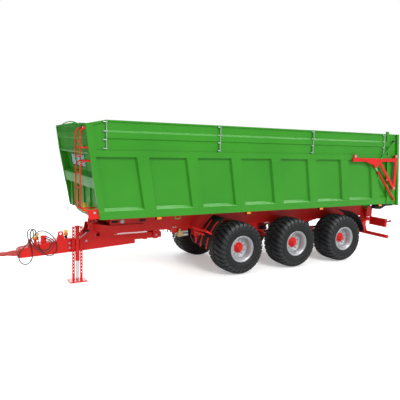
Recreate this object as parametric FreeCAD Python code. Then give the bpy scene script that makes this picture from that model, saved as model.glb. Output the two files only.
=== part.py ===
"""Three-axle farm tipping trailer: chassis with a neck and drawbar, six wheels on leaf
springs, a tipping body with extension sides, and a hydraulic tailgate on side arms.

Millimetres. +X points to the drawbar, +Y to the left side, +Z up. All positions along the
trailer are given from the middle axle; the finished shapes are moved by `centre_shift`, so
that the origin is on the ground under the middle of the whole trailer.
"""
import FreeCAD
import Part
import math
import os

V = FreeCAD.Vector

# ---------------------------------------------------------------- driving dimensions
tyre_radius = 600.0
tyre_width = 620.0
rim_radius = 286.0
axle_spacing = 1600.0
half_track = 968.0
spindle_radius = 45.0
axle_half = 60.0            # half of the square axle beam

floor_z = 1443.0            # underside of the body's side walls
rail_bottom_z = 2645.0      # top rail of the side walls
ledge_z = 2770.0            # top of that rail, where the extension sides stand
top_z = 3340.0              # top of the extension sides
front_top_z = 3255.0        # top of the front extension
front_bottom_x = 4880.0     # front edge of the side walls at floor_z
rear_bottom_x = -3270.0     # rear end of the side walls at floor_z
front_lean = 0.175          # forward lean of that edge, mm per mm of height
rear_lean = 0.11            # the same of the rear edge and the tailgate
front_wall_depth = 50.0     # from the front edge to the end of the floor
half_width_floor = 1200.0   # outer face of the body at floor_z
half_width_ledge = 1236.0
recess = 60.0               # depth of the side panels behind the ribs
skin = 8.0
rib_width = 255.0
rib_flank = 34.0            # run of a rib's sloping side
rib_pitch = 1095.0
first_rib_x = 3940.0        # middle of the first rib, at mid height
rib_lean = 0.185
rib_count = 7

extension_half_width = 1205.0
extension_sheet = 12.0
extension_joints = (4780.0, 2280.0, -350.0, -3050.0)
stanchion_foot_x = -3050.0   # front edge of the leaning post behind the extension sides
stanchion_head_x = -2940.0
stanchion_top_z = 3400.0

rail_y = 450.0              # middle of the main rails
rail_half = 50.0
frame_top_z = 1330.0
frame_bottom_z = 1020.0
neck_top_z = 1190.0         # flange of the tapered nose in front of the rails
nose_front_x = 4712.0
frame_front_x = 4450.0
frame_rear_x = -3120.0
cheek_y = 145.0             # inner face of the plates that hold the drawbar

tip_hinge = (-3200.0, 1200.0)        # X, Z
tip_pin_radius = 35.0
hinge_pin_half = 620.0
gate_pivot = (-1782.0, 2730.0)
gate_pin = (-2552.0, 2460.0)         # rod pin on the tailgate arm
gate_base = (-3392.0, 1560.0)        # barrel pin on the body
gate_pivot_radius = 16.0
gate_base_radius = 14.0
gate_pin_radius = 12.0
arm_inner_y = 1249.0
arm_thickness = 25.0
gate_cylinder_y = arm_inner_y + arm_thickness / 2.0
gate_rear_x = -3621.0       # rear face of the tailgate at gate_foot_z
gate_foot_z = 1400.0
gate_depth = 45.0

lift_pivot = (800.0, 950.0)          # trunnion of the tipping cylinder
lift_head = (800.0, 1390.0)
trunnion_radius = 30.0
lift_pin_radius = 15.0
lift_stages = 5

drawbar_half_width = 130.0
drawbar_front_x = 6190.0
drawbar_tip_z = (570.0, 750.0)       # underside and top at the front end
drawbar_rise = 0.175                 # top of the drawbar, mm per mm backwards
drawbar_top_z = 905.0
drawbar_pin = (4870.0, 835.0)
eye_centre = (6480.0, 655.0)
eye_radius = 70.0
eye_bore = 25.0
eye_height = 60.0

jack_x = 5070.0
jack_y = 235.0
jack_barrel_radius = 43.0
jack_rail_offset = 82.0
jack_rail_half = 24.0

mudguard_y = (740.0, 1255.0)
mudguard_radius = {"front": 880.0, "rear": 730.0}
mudguard_arc = {"front": (8.0, 57.0), "rear": (104.0, 170.0)}
mudguard_thickness = 6.0

pin_clearance = 0.5
trailer_rear_x = -3660.0
centre_shift = -(eye_centre[0] + eye_radius + trailer_rear_x) / 2.0

# Free hoses: diameter, and the points of the route from the parked coupling to the gland.
hose_routes = {
    "hose_brake_line": (18.0, [
        (5838, 128, 985), (5842, 152, 930), (5834, 174, 840), (5808, 188, 745),
        (5748, 196, 650), (5660, 198, 582), (5560, 194, 590), (5485, 186, 660),
        (5462, 178, 760), (5484, 170, 870), (5545, 164, 972), (5640, 162, 1060),
        (5755, 166, 1112), (5862, 196, 1095), (5942, 248, 1025), (6018, 292, 940),
        (6100, 290, 850), (6176, 250, 760), (6222, 194, 655), (6208, 180, 545),
        (6150, 180, 458), (6055, 186, 445), (5980, 192, 515), (5952, 188, 620),
        (5958, 172, 725), (5975, 150, 815), (5985, 112, 880)]),
    "hose_tipping": (22.0, [
        (5860, 45, 985), (5864, 58, 1062), (5894, 90, 1130), (5956, 140, 1136),
        (6000, 188, 1070), (5994, 214, 968), (5944, 228, 862), (5870, 238, 776),
        (5780, 242, 722), (5680, 238, 722), (5602, 222, 782), (5580, 178, 858),
        (5614, 124, 912), (5686, 80, 930)]),
    "hose_tailgate": (18.0, [
        (5900, 20, 985), (5908, 34, 1070), (5942, 74, 1144), (6008, 132, 1150),
        (6054, 190, 1080), (6046, 238, 975), (5998, 262, 870), (5918, 274, 778),
        (5820, 278, 706), (5714, 274, 678), (5612, 262, 710), (5542, 234, 787),
        (5530, 184, 868), (5566, 124, 925), (5640, 70, 950)]),
}
hose_fitting_length = 42.0


# ---------------------------------------------------------------- shape helpers
def block(x0, x1, y0, y1, z0, z1):
    return Part.makeBox(x1 - x0, y1 - y0, z1 - z0, V(x0, y0, z0))


def plate_xz(points, y0, y1):
    """A plate whose outline is drawn in X and Z, between two Y values."""
    corners = [V(x, y0, z) for x, z in points]
    face = Part.Face(Part.makePolygon(corners + [corners[0]]))
    return face.extrude(V(0, y1 - y0, 0))


def plate_xy(points, z0, z1):
    """A plate whose plan is drawn in X and Y, between two heights."""
    corners = [V(x, y, z0) for x, y in points]
    face = Part.Face(Part.makePolygon(corners + [corners[0]]))
    return face.extrude(V(0, 0, z1 - z0))


def plate_yz(points, x0, x1):
    """A bar whose section is drawn in Y and Z, between two X values."""
    corners = [V(x0, y, z) for y, z in points]
    face = Part.Face(Part.makePolygon(corners + [corners[0]]))
    return face.extrude(V(x1 - x0, 0, 0))


def rod(start, end, radius):
    a, b = V(*start), V(*end)
    return Part.makeCylinder(radius, (b - a).Length, a, b - a)


def pin_y(xz, y0, y1, radius):
    return Part.makeCylinder(radius, y1 - y0, V(xz[0], y0, xz[1]), V(0, 1, 0))


def strut_xz(start, end, width, y0, y1):
    """A straight flat bar between two X, Z points."""
    a, b = V(start[0], 0, start[1]), V(end[0], 0, end[1])
    across = (b - a).cross(V(0, 1, 0)).normalize() * (width / 2.0)
    corners = [a + across, b + across, b - across, a - across]
    return plate_xz([(c.x, c.z) for c in corners], y0, y1)


def join(*shapes):
    solid = shapes[0].multiFuse(list(shapes[1:])) if len(shapes) > 1 else shapes[0]
    return solid.removeSplitter()


def mirrored(shape):
    return shape.mirror(V(0, 0, 0), V(0, 1, 0))


def both_sides(*shapes):
    return Part.makeCompound(list(shapes) + [mirrored(shape) for shape in shapes])


def write(shape, node):
    moved = shape.copy()
    moved.translate(V(centre_shift, 0, 0))
    moved.exportStep("parts/" + node + ".step")
    print(node, len(moved.Solids), "solids", round(moved.Volume / 1e6, 1), "litres",
          "valid" if moved.isValid() else "NOT VALID")


# ---------------------------------------------------------------- shared lines of the body
def outer_y(z):
    slope = (half_width_ledge - half_width_floor) / (ledge_z - floor_z)
    return half_width_floor + slope * (z - floor_z)


def front_at(z, forward=0.0):
    """X and Z of a point on the front wall's leaning face, or that far in front of it."""
    return (front_bottom_x + front_lean * (z - floor_z) + forward, z)


def rear_at(z, forward=0.0):
    """The same for the rear edge of the side walls."""
    return (rear_bottom_x + rear_lean * (z - floor_z) + forward, z)


def gate_at(z, forward=0.0):
    """The same for the rear face of the tailgate."""
    return (gate_rear_x + rear_lean * (z - gate_foot_z) + forward, z)


def front_plate(low, high, back, front, y0, y1):
    """A plate that leans with the front wall."""
    return plate_xz([front_at(low, back), front_at(low, front),
                     front_at(high, front), front_at(high, back)], y0, y1)


def gate_plate(low, high, back, front, y0, y1):
    """A plate that leans with the tailgate."""
    return plate_xz([gate_at(low, back), gate_at(low, front),
                     gate_at(high, front), gate_at(high, back)], y0, y1)


# ---------------------------------------------------------------- wheels
def revolve_about_axle(points, centre):
    """points are (y, r) from the wheel's middle plane; a closed outline."""
    x, y, z = centre
    corners = [V(x, y + py, z + r) for py, r in points]
    face = Part.Face(Part.makePolygon(corners + [corners[0]]))
    return face.revolve(V(x, y, z), V(0, 1, 0), 360)


def tyre(centre):
    """A hollow casing: the outer shape down to both beads, and the air space inside it."""
    half = tyre_width / 2.0
    r = tyre_radius
    outer = [(half - 50, rim_radius + 4), (half - 22, rim_radius + 50), (half, rim_radius + 130),
             (half - 4, r - 110), (half - 22, r - 50), (half - 55, r - 16), (half - 110, r)]
    inner = [(half - 78, rim_radius + 4), (half - 50, rim_radius + 56),
             (half - 28, rim_radius + 132), (half - 32, r - 112), (half - 50, r - 72),
             (half - 76, r - 48), (half - 120, r - 34)]
    across_outer = outer + [(-y, radius) for y, radius in reversed(outer)]
    across_inner = inner + [(-y, radius) for y, radius in reversed(inner)]
    return revolve_about_axle(across_outer + across_inner[::-1], centre)


def wheel_centre(centre, outward):
    """Rim, dished disc and hub. outward is +1 on the left side, -1 on the right."""
    bead = tyre_width / 2.0 - 50
    r = rim_radius
    barrel_half = [(bead, r + 3), (bead + 12, r + 3), (bead + 12, r + 20),
                   (bead + 22, r + 20), (bead + 22, r - 8), (bead, r - 14)]
    barrel = barrel_half + [(-y, radius) for y, radius in reversed(barrel_half)]
    hub_inner, pocket = -86, 92
    disc = [(128, r - 14), (128, 250), (116, 236), (116, spindle_radius), (102, spindle_radius),
            (102, 240), (112, 254), (112, r - 14)]
    hub = [(hub_inner, spindle_radius), (hub_inner, 112), (102, 112), (110, 135), (128, 135),
           (132, 100), (146, 92), (162, 76), (170, 56), (206, 52), (214, 44), (214, 0),
           (pocket, 0), (pocket, spindle_radius)]
    shapes = [revolve_about_axle([(outward * y, radius) for y, radius in outline], centre)
              for outline in (barrel, disc, hub)]
    bore = Part.makeCylinder(spindle_radius + pin_clearance, pocket - hub_inner + 1,
                             V(centre[0], centre[1] + outward * (hub_inner - 1), centre[2]),
                             V(0, outward, 0))
    return join(*shapes).cut(bore)


def axle(x):
    """Square beam, brake drums and the two spindles that the hubs run on."""
    spindle_end, drum_inner, drum_outer, drum_radius = 1035.0, 690.0, 872.0, 205.0
    shapes = [block(x - axle_half, x + axle_half, -drum_outer, drum_outer,
                    tyre_radius - axle_half, tyre_radius + axle_half)]
    for side in (1, -1):
        for inner, outer, radius in ((drum_inner, drum_outer, drum_radius),
                                     (drum_outer - 10, spindle_end, spindle_radius)):
            y0, y1 = sorted((side * inner, side * outer))
            shapes.append(pin_y((x, tyre_radius), y0, y1, radius))
    return join(*shapes)


# ---------------------------------------------------------------- leaf springs
spring_eye = (715.0, 862.0)          # from the axle, and height
spring_eye_radius = 26.0
spring_pin_radius = 12.0
hanger_places = (2315.0, 800.0, -800.0, -2315.0)


def leaf_pack(x):
    """Four leaves clamped on the axle, with an eye and a pin at each end of the longest."""
    leaf, half_width, middle_z = 16.0, 45.0, 790.0
    y0, y1 = rail_y - half_width, rail_y + half_width
    shapes = [block(x - 75, x + 75, y0 - 15, y1 + 15, tyre_radius + axle_half, 764),
              block(x - 60, x + 60, y0 - 15, y1 + 15, middle_z + leaf - 4, middle_z + 44)]
    reaches = [spring_eye[0] - 150.0 * number for number in range(4)]
    for number, reach in enumerate(reaches):
        half = [dx for dx in [0.0] + reaches[::-1] if dx <= reach]
        line = [-dx for dx in half[:0:-1]] + half
        under = [(x + dx, middle_z - leaf * number + 56.0 * (dx / spring_eye[0]) ** 2)
                 for dx in line]
        over = [(px, z + leaf) for px, z in reversed(under)]
        shapes.append(plate_xz(under + over, y0, y1))
    for end in (-1, 1):
        eye = (x + end * spring_eye[0], spring_eye[1])
        shapes.append(pin_y(eye, y0, y1, spring_eye_radius))
        shapes.append(pin_y(eye, rail_y - 62, rail_y + 62, spring_pin_radius))
    return join(*shapes)


def spring_hanger(x):
    """Two plates under a rail, tied by a block, that hold the spring pins."""
    shapes = [block(x - 28, x + 28, rail_y - 50, rail_y + 50, 925, frame_bottom_z)]
    outline = [(x - 150, frame_bottom_z), (x - 125, 825), (x + 125, 825),
               (x + 150, frame_bottom_z)]
    for y0 in (rail_y - 62, rail_y + 50):
        shapes.append(plate_xz(outline, y0, y0 + 12))
    hanger = join(*shapes)
    for number in (1, 0, -1):
        for end in (-1, 1):
            eye = (number * axle_spacing + end * spring_eye[0], spring_eye[1])
            hanger = hanger.cut(pin_y(eye, rail_y - 70, rail_y + 70,
                                      spring_pin_radius + pin_clearance))
    return hanger


# ---------------------------------------------------------------- chassis
def main_rail():
    """One deep straight beam; a fork at its rear end holds the tipping hinge's pin."""
    outline = [(frame_rear_x, frame_bottom_z), (frame_front_x, frame_bottom_z),
               (frame_front_x, frame_top_z), (frame_rear_x, frame_top_z),
               (frame_rear_x, 1285), (-3245, 1265), (-3270, 1200), (-3240, 1130)]
    y0, y1 = rail_y - rail_half, rail_y + rail_half
    x0, x1, low, outer = -3325, -3110, 995, hinge_pin_half
    rail = join(plate_xz(outline, y0, y1), block(x0, x1, y1, outer, low, low + 20),
                block(x1 - 12, x1, y1, outer, low, 1170),
                block(x0, x1, outer - 20, outer, low, 1300))
    return rail.cut(pin_y(tip_hinge, y0 - 1, outer + 1, tip_pin_radius))


def cross_members():
    """Box beams between the rails, the tipping hinge's pin, and the lift cylinder's cradle."""
    inner = rail_y - rail_half
    beams = [block(x - 40, x + 40, -inner, inner, 1080, 1190)
             for x in (-2900, -1250, 1760, 2460)]
    beams += [block(x - 40, x + 40, -inner, inner, 1200, 1310) for x in (3900, 4380)]
    middle = lift_pivot[0]
    cradle = [block(middle + dx - 40, middle + dx + 40, -inner, inner, 1080, 1190)
              for dx in (-350, 350)]
    half = [(330, 1180), (330, 1080), (130, 1040), (80, 895)]
    outline = ([(middle + dx, z) for dx, z in half]
               + [(middle - dx, z) for dx, z in reversed(half)])
    for side in (1, -1):
        y0, y1 = sorted((side * 150, side * 180))
        cradle.append(plate_xz(outline, y0, y1))
    carrier = join(*cradle).cut(pin_y(lift_pivot, -400, 400, trunnion_radius + pin_clearance))
    hinge_pin = pin_y(tip_hinge, -hinge_pin_half, hinge_pin_half, tip_pin_radius)
    return Part.makeCompound(beams + [carrier, hinge_pin])


def nose_plan(outward):
    """Half plan of the nose, moved outward by that much: X and Y from its rear to its tip."""
    side = rail_y + rail_half
    return [(3720, side), (3720, side + outward), (frame_front_x + outward / 3, side + outward),
            (nose_front_x + outward, cheek_y + 27 + outward / 3)]


def front_neck():
    """Plates along the rails' front part that draw together to a nose over the drawbar.

    The swept cheeks under the nose hold the drawbar's pin; two straps hold its tongue. A
    plate with a hole stands in front of the left cheek.
    """
    inner, wall, flange = rail_y - rail_half, 12.0, 30.0
    floor_top = frame_bottom_z + 10
    tip = nose_front_x
    sweep = pin_y((5066, 1160), -400, 400, 252)
    shapes = [block(3190, frame_front_x, -inner, inner, frame_bottom_z, floor_top),
              plate_xy([(frame_front_x, -inner), (tip, -cheek_y), (tip, cheek_y),
                        (frame_front_x, inner)], frame_bottom_z, floor_top),
              block(tip - wall, tip, -cheek_y - 10, cheek_y + 10, frame_bottom_z, neck_top_z),
              block(3190, 3310, -inner, inner, frame_bottom_z, 1100)]
    inside = [(tip - wall, cheek_y - 10), (frame_front_x, rail_y + rail_half)]
    for sign in (1, -1):
        for outward, low, high in ((wall, frame_bottom_z, neck_top_z),
                                   (flange, neck_top_z - 14, neck_top_z)):
            plan = nose_plan(outward) + inside
            shapes.append(plate_xy([(x, sign * y) for x, y in plan], low, high))
        y0, y1 = sorted((sign * cheek_y, sign * (cheek_y + 25)))
        cheek = plate_xz([(4480, frame_bottom_z), (4480, neck_top_z), (5005, neck_top_z),
                          (5005, 872), (4960, 795), (4880, 762), (4745, 762), (4700, 800),
                          (4690, 900), (4600, frame_bottom_z)], y0, y1)
        shapes.append(cheek.cut(sweep))
        y2, y3 = sorted((sign * (cheek_y + 5), sign * (cheek_y + 45)))
        shapes.append(block(tip - 92, tip + 8, y2, y3, 985, 1262))
        strap = [(3170, floor_top), (3170, 800), (3200, 775), (3300, 775), (3330, 800),
                 (3330, floor_top)]
        shapes.append(plate_xz(strap, y0, y1))
    bracket = plate_xz([(tip - 12, 1150), (tip + 108, 1165), (tip + 118, 1190),
                        (tip + 118, 1315), (tip - 12, 1315)], cheek_y, cheek_y + 25)
    shapes.append(bracket.cut(pin_y((tip + 62, 1238), 100, 300, 26)))
    shapes.append(pin_y(drawbar_pin, -cheek_y - 40, cheek_y + 40, 25))
    return join(*shapes)


def drawbar_top(x):
    return drawbar_tip_z[1] + (drawbar_front_x - x) * drawbar_rise


def drawbar():
    """Tapered box beam, its rear tongue, and the towing lug on its left top edge."""
    w = drawbar_half_width
    low, high = drawbar_tip_z
    knee_x = drawbar_front_x - (drawbar_top_z - high) / drawbar_rise
    beam = [(drawbar_front_x, low), (drawbar_front_x, high), (knee_x, drawbar_top_z),
            (3110, drawbar_top_z), (3110, 780), (3750, 765), (3750, 685), (5000, 615)]
    shapes = [plate_xz(beam, -w, w)]
    for x in (3250, 3500):
        shapes.append(block(x - 45, x + 45, -w, w, 752, 785))
    for side in (1, -1):
        y0, y1 = sorted((side * w, side * cheek_y))
        shapes.append(block(3200, 3300, y0, y1, 815, 895))
        shapes.append(pin_y(drawbar_pin, y0, y1, 42))
    lug = plate_xz([(5310, drawbar_top(5310) - 4), (5340, 1060), (5430, 1060),
                    (5465, drawbar_top(5465) - 4)], 104, 122)
    shapes.append(lug.cut(pin_y((5386, 1010), 100, 130, 24)))
    return join(*shapes).cut(pin_y(drawbar_pin, -300, 300, 25 + pin_clearance))


def coupling_eye():
    x, z = eye_centre
    flange_x = drawbar_front_x + 30
    ring = Part.makeCylinder(eye_radius, eye_height, V(x, 0, z - eye_height / 2))
    neck = plate_xz([(x - 30, z - 28), (x - 200, z - 55), (x - 200, z + 55), (x - 30, z + 28)],
                    -35, 35)
    flange = block(drawbar_front_x, flange_x, -95, 95, 575, 745)
    link = block(flange_x - 5, x - 195, -45, 45, z - 50, z + 50)
    bore = Part.makeCylinder(eye_bore, eye_height + 2, V(x, 0, z - eye_height / 2 - 1))
    return join(ring, neck, flange, link).cut(bore)


def arc_strip(centre, radius, thickness, start, end, y0, y1):
    """A curved strip about a Y axis; angles in degrees from +X towards +Z."""
    def at(r, degrees):
        a = math.radians(degrees)
        return V(centre[0] + r * math.cos(a), y0, centre[1] + r * math.sin(a))
    middle = (start + end) / 2.0
    inside = radius - thickness
    edges = [Part.Arc(at(radius, start), at(radius, middle), at(radius, end)).toShape(),
             Part.LineSegment(at(radius, end), at(inside, end)).toShape(),
             Part.Arc(at(inside, end), at(inside, middle), at(inside, start)).toShape(),
             Part.LineSegment(at(inside, start), at(radius, start)).toShape()]
    return Part.Face(Part.Wire(edges)).extrude(V(0, y1 - y0, 0))


def mudguards():
    strips = []
    for place, number in (("front", 1), ("rear", -1)):
        start, end = mudguard_arc[place]
        strips.append(arc_strip((number * axle_spacing, tyre_radius), mudguard_radius[place],
                                mudguard_thickness, start, end, *mudguard_y))
    return both_sides(*strips)


def mudguard_brackets():
    """A tube out from a foot on each rail, with two short stays to the guard."""
    shapes = []
    rail_face, tip = rail_y + rail_half, mudguard_y[1] - 15
    for place, number, bar in (("front", 1, (2530, 1060)), ("rear", -1, (-2520, 1060))):
        hub = V(number * axle_spacing, 0, tyre_radius)
        away = V(bar[0], 0, bar[1]) - hub
        touch = hub + away * (mudguard_radius[place] / away.Length)
        parts = [pin_y(bar, rail_face, tip, 24),
                 block(bar[0] - 40, bar[0] + 40, rail_face, rail_face + 10,
                       bar[1] - 40, bar[1] + 60)]
        for y in (800, 1160):
            parts.append(strut_xz(bar, (touch.x, touch.z), 36, y, y + 40))
        shapes.append(join(*parts))
    return both_sides(*shapes)


lamp_box = (-3390.0, -3310.0, 560.0, 1110.0, 765.0, 990.0)


def rear_guard():
    """Underrun tube on two posts, and a lamp box on each side."""
    shapes = [pin_y((-3300, 515), -1230, 1230, 50)]
    x0, x1, y0, y1, z0, z1 = lamp_box
    shell = block(*lamp_box).cut(block(x0 - 10, x1 - 40, y0 + 15, y1 - 15, z0 + 15, z1 - 15))
    post_inner = 388
    post = [(-3105, 1018), (-3105, 780), (-3235, 480), (-3345, 490), (-3345, 545),
            (-3270, 740), (-3270, 1018)]
    for side in (1, -1):
        p0, p1 = sorted((side * post_inner, side * 480))
        shapes.append(plate_xz(post, p0, p1))
        g0, g1 = sorted((side * post_inner, side * (rail_y - rail_half)))
        shapes.append(block(-3255, -3060, g0, g1, 1000, 1125))
        a0, a1 = sorted((side * 475, side * (y0 + 5)))
        shapes.append(block(-3335, -3235, a0, a1, 860, 960))
        shapes.append(shell if side == 1 else mirrored(shell))
    return join(*shapes)


def rear_lamps():
    """The lamp unit that fills each box."""
    x0, x1, y0, y1, z0, z1 = lamp_box
    return both_sides(block(x0 + 22, x1 - 40, y0 + 15, y1 - 15, z0 + 15, z1 - 15))


def jack_sleeve():
    """Barrel on the drawbar's left side."""
    top = 1180.0
    barrel = rod((jack_x, jack_y, 440), (jack_x, jack_y, top), jack_barrel_radius)
    shapes = [barrel]
    for z in (700, 880):
        shapes.append(block(jack_x - 55, jack_x + 55, drawbar_half_width, jack_y - 20, z, z + 30))
    bore = rod((jack_x, jack_y, 430), (jack_x, jack_y, top - 30), 30)
    return join(*shapes).cut(bore)


def jack_leg():
    """Piston, foot, and the two perforated rails that guide the foot."""
    rail_top, half = 1162.0, 8.0
    shapes = [rod((jack_x, jack_y, 10), (jack_x, jack_y, 765), 26),
              block(jack_x - 180, jack_x + 180, jack_y - 130, jack_y + 130, 0, 22)]
    for side in (-1, 1):
        x = jack_x + side * jack_rail_offset
        rail = block(x - jack_rail_half, x + jack_rail_half, jack_y - half, jack_y + half,
                     20, rail_top)
        for z in range(190, 1101, 70):
            rail = rail.cut(pin_y((x, z), jack_y - 20, jack_y + 20, 13))
        shapes.append(rail)
    reach = jack_rail_offset + jack_rail_half
    head = block(jack_x - reach, jack_x + reach, jack_y - 60, jack_y + 60, rail_top - 12,
                 rail_top)
    opening = rod((jack_x, jack_y, rail_top - 20), (jack_x, jack_y, rail_top + 10),
                  jack_barrel_radius + 6)
    shapes.append(head.cut(opening))
    return join(*shapes)


# ---------------------------------------------------------------- hoses
def hose(name):
    """Straight runs joined by tangent arcs, each as large as its two runs allow."""
    diameter, points = hose_routes[name]
    corners = [V(*point) for point in points]
    edges, radii = [], []
    start = corners[0]
    for before, corner, after in zip(corners, corners[1:], corners[2:]):
        back, ahead = before - corner, after - corner
        reach = 0.45 * min(back.Length, ahead.Length)
        back.normalize()
        ahead.normalize()
        half_turn = (math.pi - back.getAngle(ahead)) / 2.0
        radius = reach / math.tan(half_turn)
        inward = (back + ahead).normalize() * (radius / math.cos(half_turn) - radius)
        enter, leave = corner + back * reach, corner + ahead * reach
        edges.append(Part.LineSegment(start, enter).toShape())
        edges.append(Part.Arc(enter, corner + inward, leave).toShape())
        radii.append(radius)
        start = leave
    edges.append(Part.LineSegment(start, corners[-1]).toShape())
    path = Part.Wire(edges)
    ring = Part.Circle(corners[0], corners[1] - corners[0], diameter / 2.0).toShape()
    tube = path.makePipeShell([Part.Wire([ring])], True, False)
    ideal = math.pi * diameter ** 2 / 4.0 * path.Length
    print(name, "length", round(path.Length), "radii", [round(radius) for radius in radii],
          "volume over section x length", round(tube.Volume / ideal, 4))
    return tube


def fitting(name, at_start, radius):
    """A short sleeve that meets a hose end face to face, and runs on in its line."""
    _, points = hose_routes[name]
    end, before = (points[0], points[1]) if at_start else (points[-1], points[-2])
    onward = (V(*end) - V(*before)).normalize() * hose_fitting_length
    return rod(end, tuple(V(*end) + onward), radius)


def hose_couplings():
    """The couplings parked on the rest: one elbow, and two that point up."""
    elbow = join(fitting("hose_brake_line", True, 15),
                 block(5816, 5850, 72, 122, 1008, 1052))
    tipping = join(fitting("hose_tipping", True, 17), rod((5858, 40, 925), (5858, 40, 962), 21))
    tailgate_line = join(fitting("hose_tailgate", True, 15),
                         rod((5896, 14, 925), (5896, 14, 962), 19))
    return Part.makeCompound([elbow, tipping, tailgate_line])


def hose_rest():
    """Bracket for the parked couplings, and the glands where the hoses enter the drawbar."""
    shelf_z = 925.0
    shelf = block(5812, 5930, -20, 100, shelf_z - 12, shelf_z)
    post = block(5850, 5900, 10, 60, drawbar_top(5850) + 2, shelf_z - 6)
    horn = block(5820, 5846, 74, 98, shelf_z - 6, 1008)
    foot = plate_xz([(5800, drawbar_top(5800)), (5940, drawbar_top(5940)),
                     (5940, drawbar_top(5940) + 12), (5800, drawbar_top(5800) + 12)], -20, 100)
    rest = join(shelf, post, horn, foot)

    def gland_block(x0, x1, y0, y1, top, names):
        base = plate_xz([(x0, drawbar_top(x0)), (x1, drawbar_top(x1)), (x1, top), (x0, top)],
                        y0, y1)
        return join(base, *[fitting(name, False, 15) for name in names])
    front_gland = gland_block(5962, 6018, 30, 97, 935, ["hose_brake_line"])
    rear_gland = gland_block(5664, 5768, 12, 62, 985, ["hose_tipping", "hose_tailgate"])
    return Part.makeCompound([rest, front_gland, rear_gland])


# ---------------------------------------------------------------- tipping body
def side_rib(x):
    """A pressed post: narrower at its face than at its root, leaning forward."""
    low, high = 1610.0, rail_bottom_z + 5
    middle_z = (low + high) / 2.0
    wires = []
    for flank, inset in ((rib_flank, recess + 4), (0.0, 2.0)):
        corners = []
        for z, side in ((low, -1), (low, 1), (high, 1), (high, -1)):
            half = rib_width / 2.0 + flank
            corners.append(V(x + rib_lean * (z - middle_z) + side * half, outer_y(z) - inset, z))
        wires.append(Part.makePolygon(corners + [corners[0]]))
    return Part.makeLoft(wires, True, True)


def edge_post(foot, head, width):
    """A flush post along the front or rear edge of a side wall."""
    outline = [foot, head, (head[0] + width, head[1]), (foot[0] + width, foot[1])]
    band = plate_yz([(outer_y(floor_z) - recess - 4, floor_z), (outer_y(floor_z) - 2, floor_z),
                     (outer_y(ledge_z) - 2, ledge_z), (outer_y(ledge_z) - recess - 4, ledge_z)],
                    -3400, 5300)
    return plate_xz(outline, 1100, 1300).common(band)


def side_wall():
    rail_top, bevel_top = 1600.0, 1660.0
    inner = recess + skin
    section = [(outer_y(floor_z) - inner, floor_z), (outer_y(floor_z), floor_z),
               (outer_y(rail_top), rail_top), (outer_y(bevel_top) - recess, bevel_top),
               (outer_y(rail_bottom_z) - recess, rail_bottom_z),
               (outer_y(rail_bottom_z), rail_bottom_z), (outer_y(ledge_z), ledge_z),
               (outer_y(ledge_z) - inner, ledge_z)]
    shapes = [plate_yz(section, -3400, 5300)]
    shapes += [side_rib(first_rib_x - number * rib_pitch) for number in range(rib_count)]
    shapes.append(edge_post(front_at(floor_z), front_at(ledge_z), -115))
    shapes.append(edge_post(rear_at(floor_z), rear_at(ledge_z), 90))
    side_view = [rear_at(floor_z), front_at(floor_z), front_at(ledge_z), rear_at(ledge_z)]
    wall = join(*shapes).common(plate_xz(side_view, 1000, 1400))
    stanchion = plate_xz([(stanchion_foot_x, ledge_z), (stanchion_foot_x - 90, ledge_z),
                          (stanchion_head_x - 90, stanchion_top_z),
                          (stanchion_head_x, stanchion_top_z)],
                         extension_half_width - 12, extension_half_width + 26)
    x = gate_base[0]
    bracket = plate_xz([(x + 260, 1480), (x - 50, 1520), (x - 50, 1600), (x + 220, 1700)],
                       outer_y(1480) - 8, 1226)
    x = gate_pivot[0]
    pivot_plate = plate_xz([(x - 90, 2660), (x + 90, 2660), (x + 90, ledge_z), (x + 50, 2800),
                            (x - 50, 2800), (x - 90, ledge_z)], outer_y(2700) - 8, 1240)
    return join(wall, stanchion, bracket, pivot_plate,
                pin_y(gate_base, 1225, 1285, gate_base_radius),
                pin_y(gate_pivot, 1230, 1283, gate_pivot_radius))


# Folds of the front wall's face: height, and distance in front of the side walls' edge.
panel_setback, soffit_z = 155.0, 2690.0
front_folds = [(floor_z, -30.0), (2010.0, -110.0), (2030.0, -12.0), (2240.0, -5.0),
               (2305.0, -panel_setback), (soffit_z, -panel_setback)]
front_sheet = 14.0
window_low, window_high = 2385.0, 2650.0
window_right, window_left = -850.0, 260.0


def panel_at(z, forward=0.0):
    """X and Z of a point on the front wall's folded face, or that far in front of it."""
    for (low, low_offset), (high, high_offset) in zip(front_folds, front_folds[1:]):
        if low <= z <= high:
            share = (z - low) / (high - low)
            return front_at(z, low_offset + (high_offset - low_offset) * share + forward)


def panel_plate(low, high, back, front, y0, y1):
    """A plate that leans with the panel between two heights of the same fold."""
    return plate_xz([panel_at(low, back), panel_at(low, front),
                     panel_at(high, front), panel_at(high, back)], y0, y1)


def behind(line, thickness):
    """The points of a folded line, moved back square to its two neighbouring runs."""
    corners = [V(x, 0, z) for x, z in line]
    normals = [(b - a).cross(V(0, 1, 0)).normalize() for a, b in zip(corners, corners[1:])]
    moved = []
    for corner, before, after in zip(corners, normals[:1] + normals, normals + normals[-1:]):
        step = (before + after) * (thickness / (1.0 + before.dot(after)))
        moved.append((corner.x + step.x, corner.z + step.z))
    return moved


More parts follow.
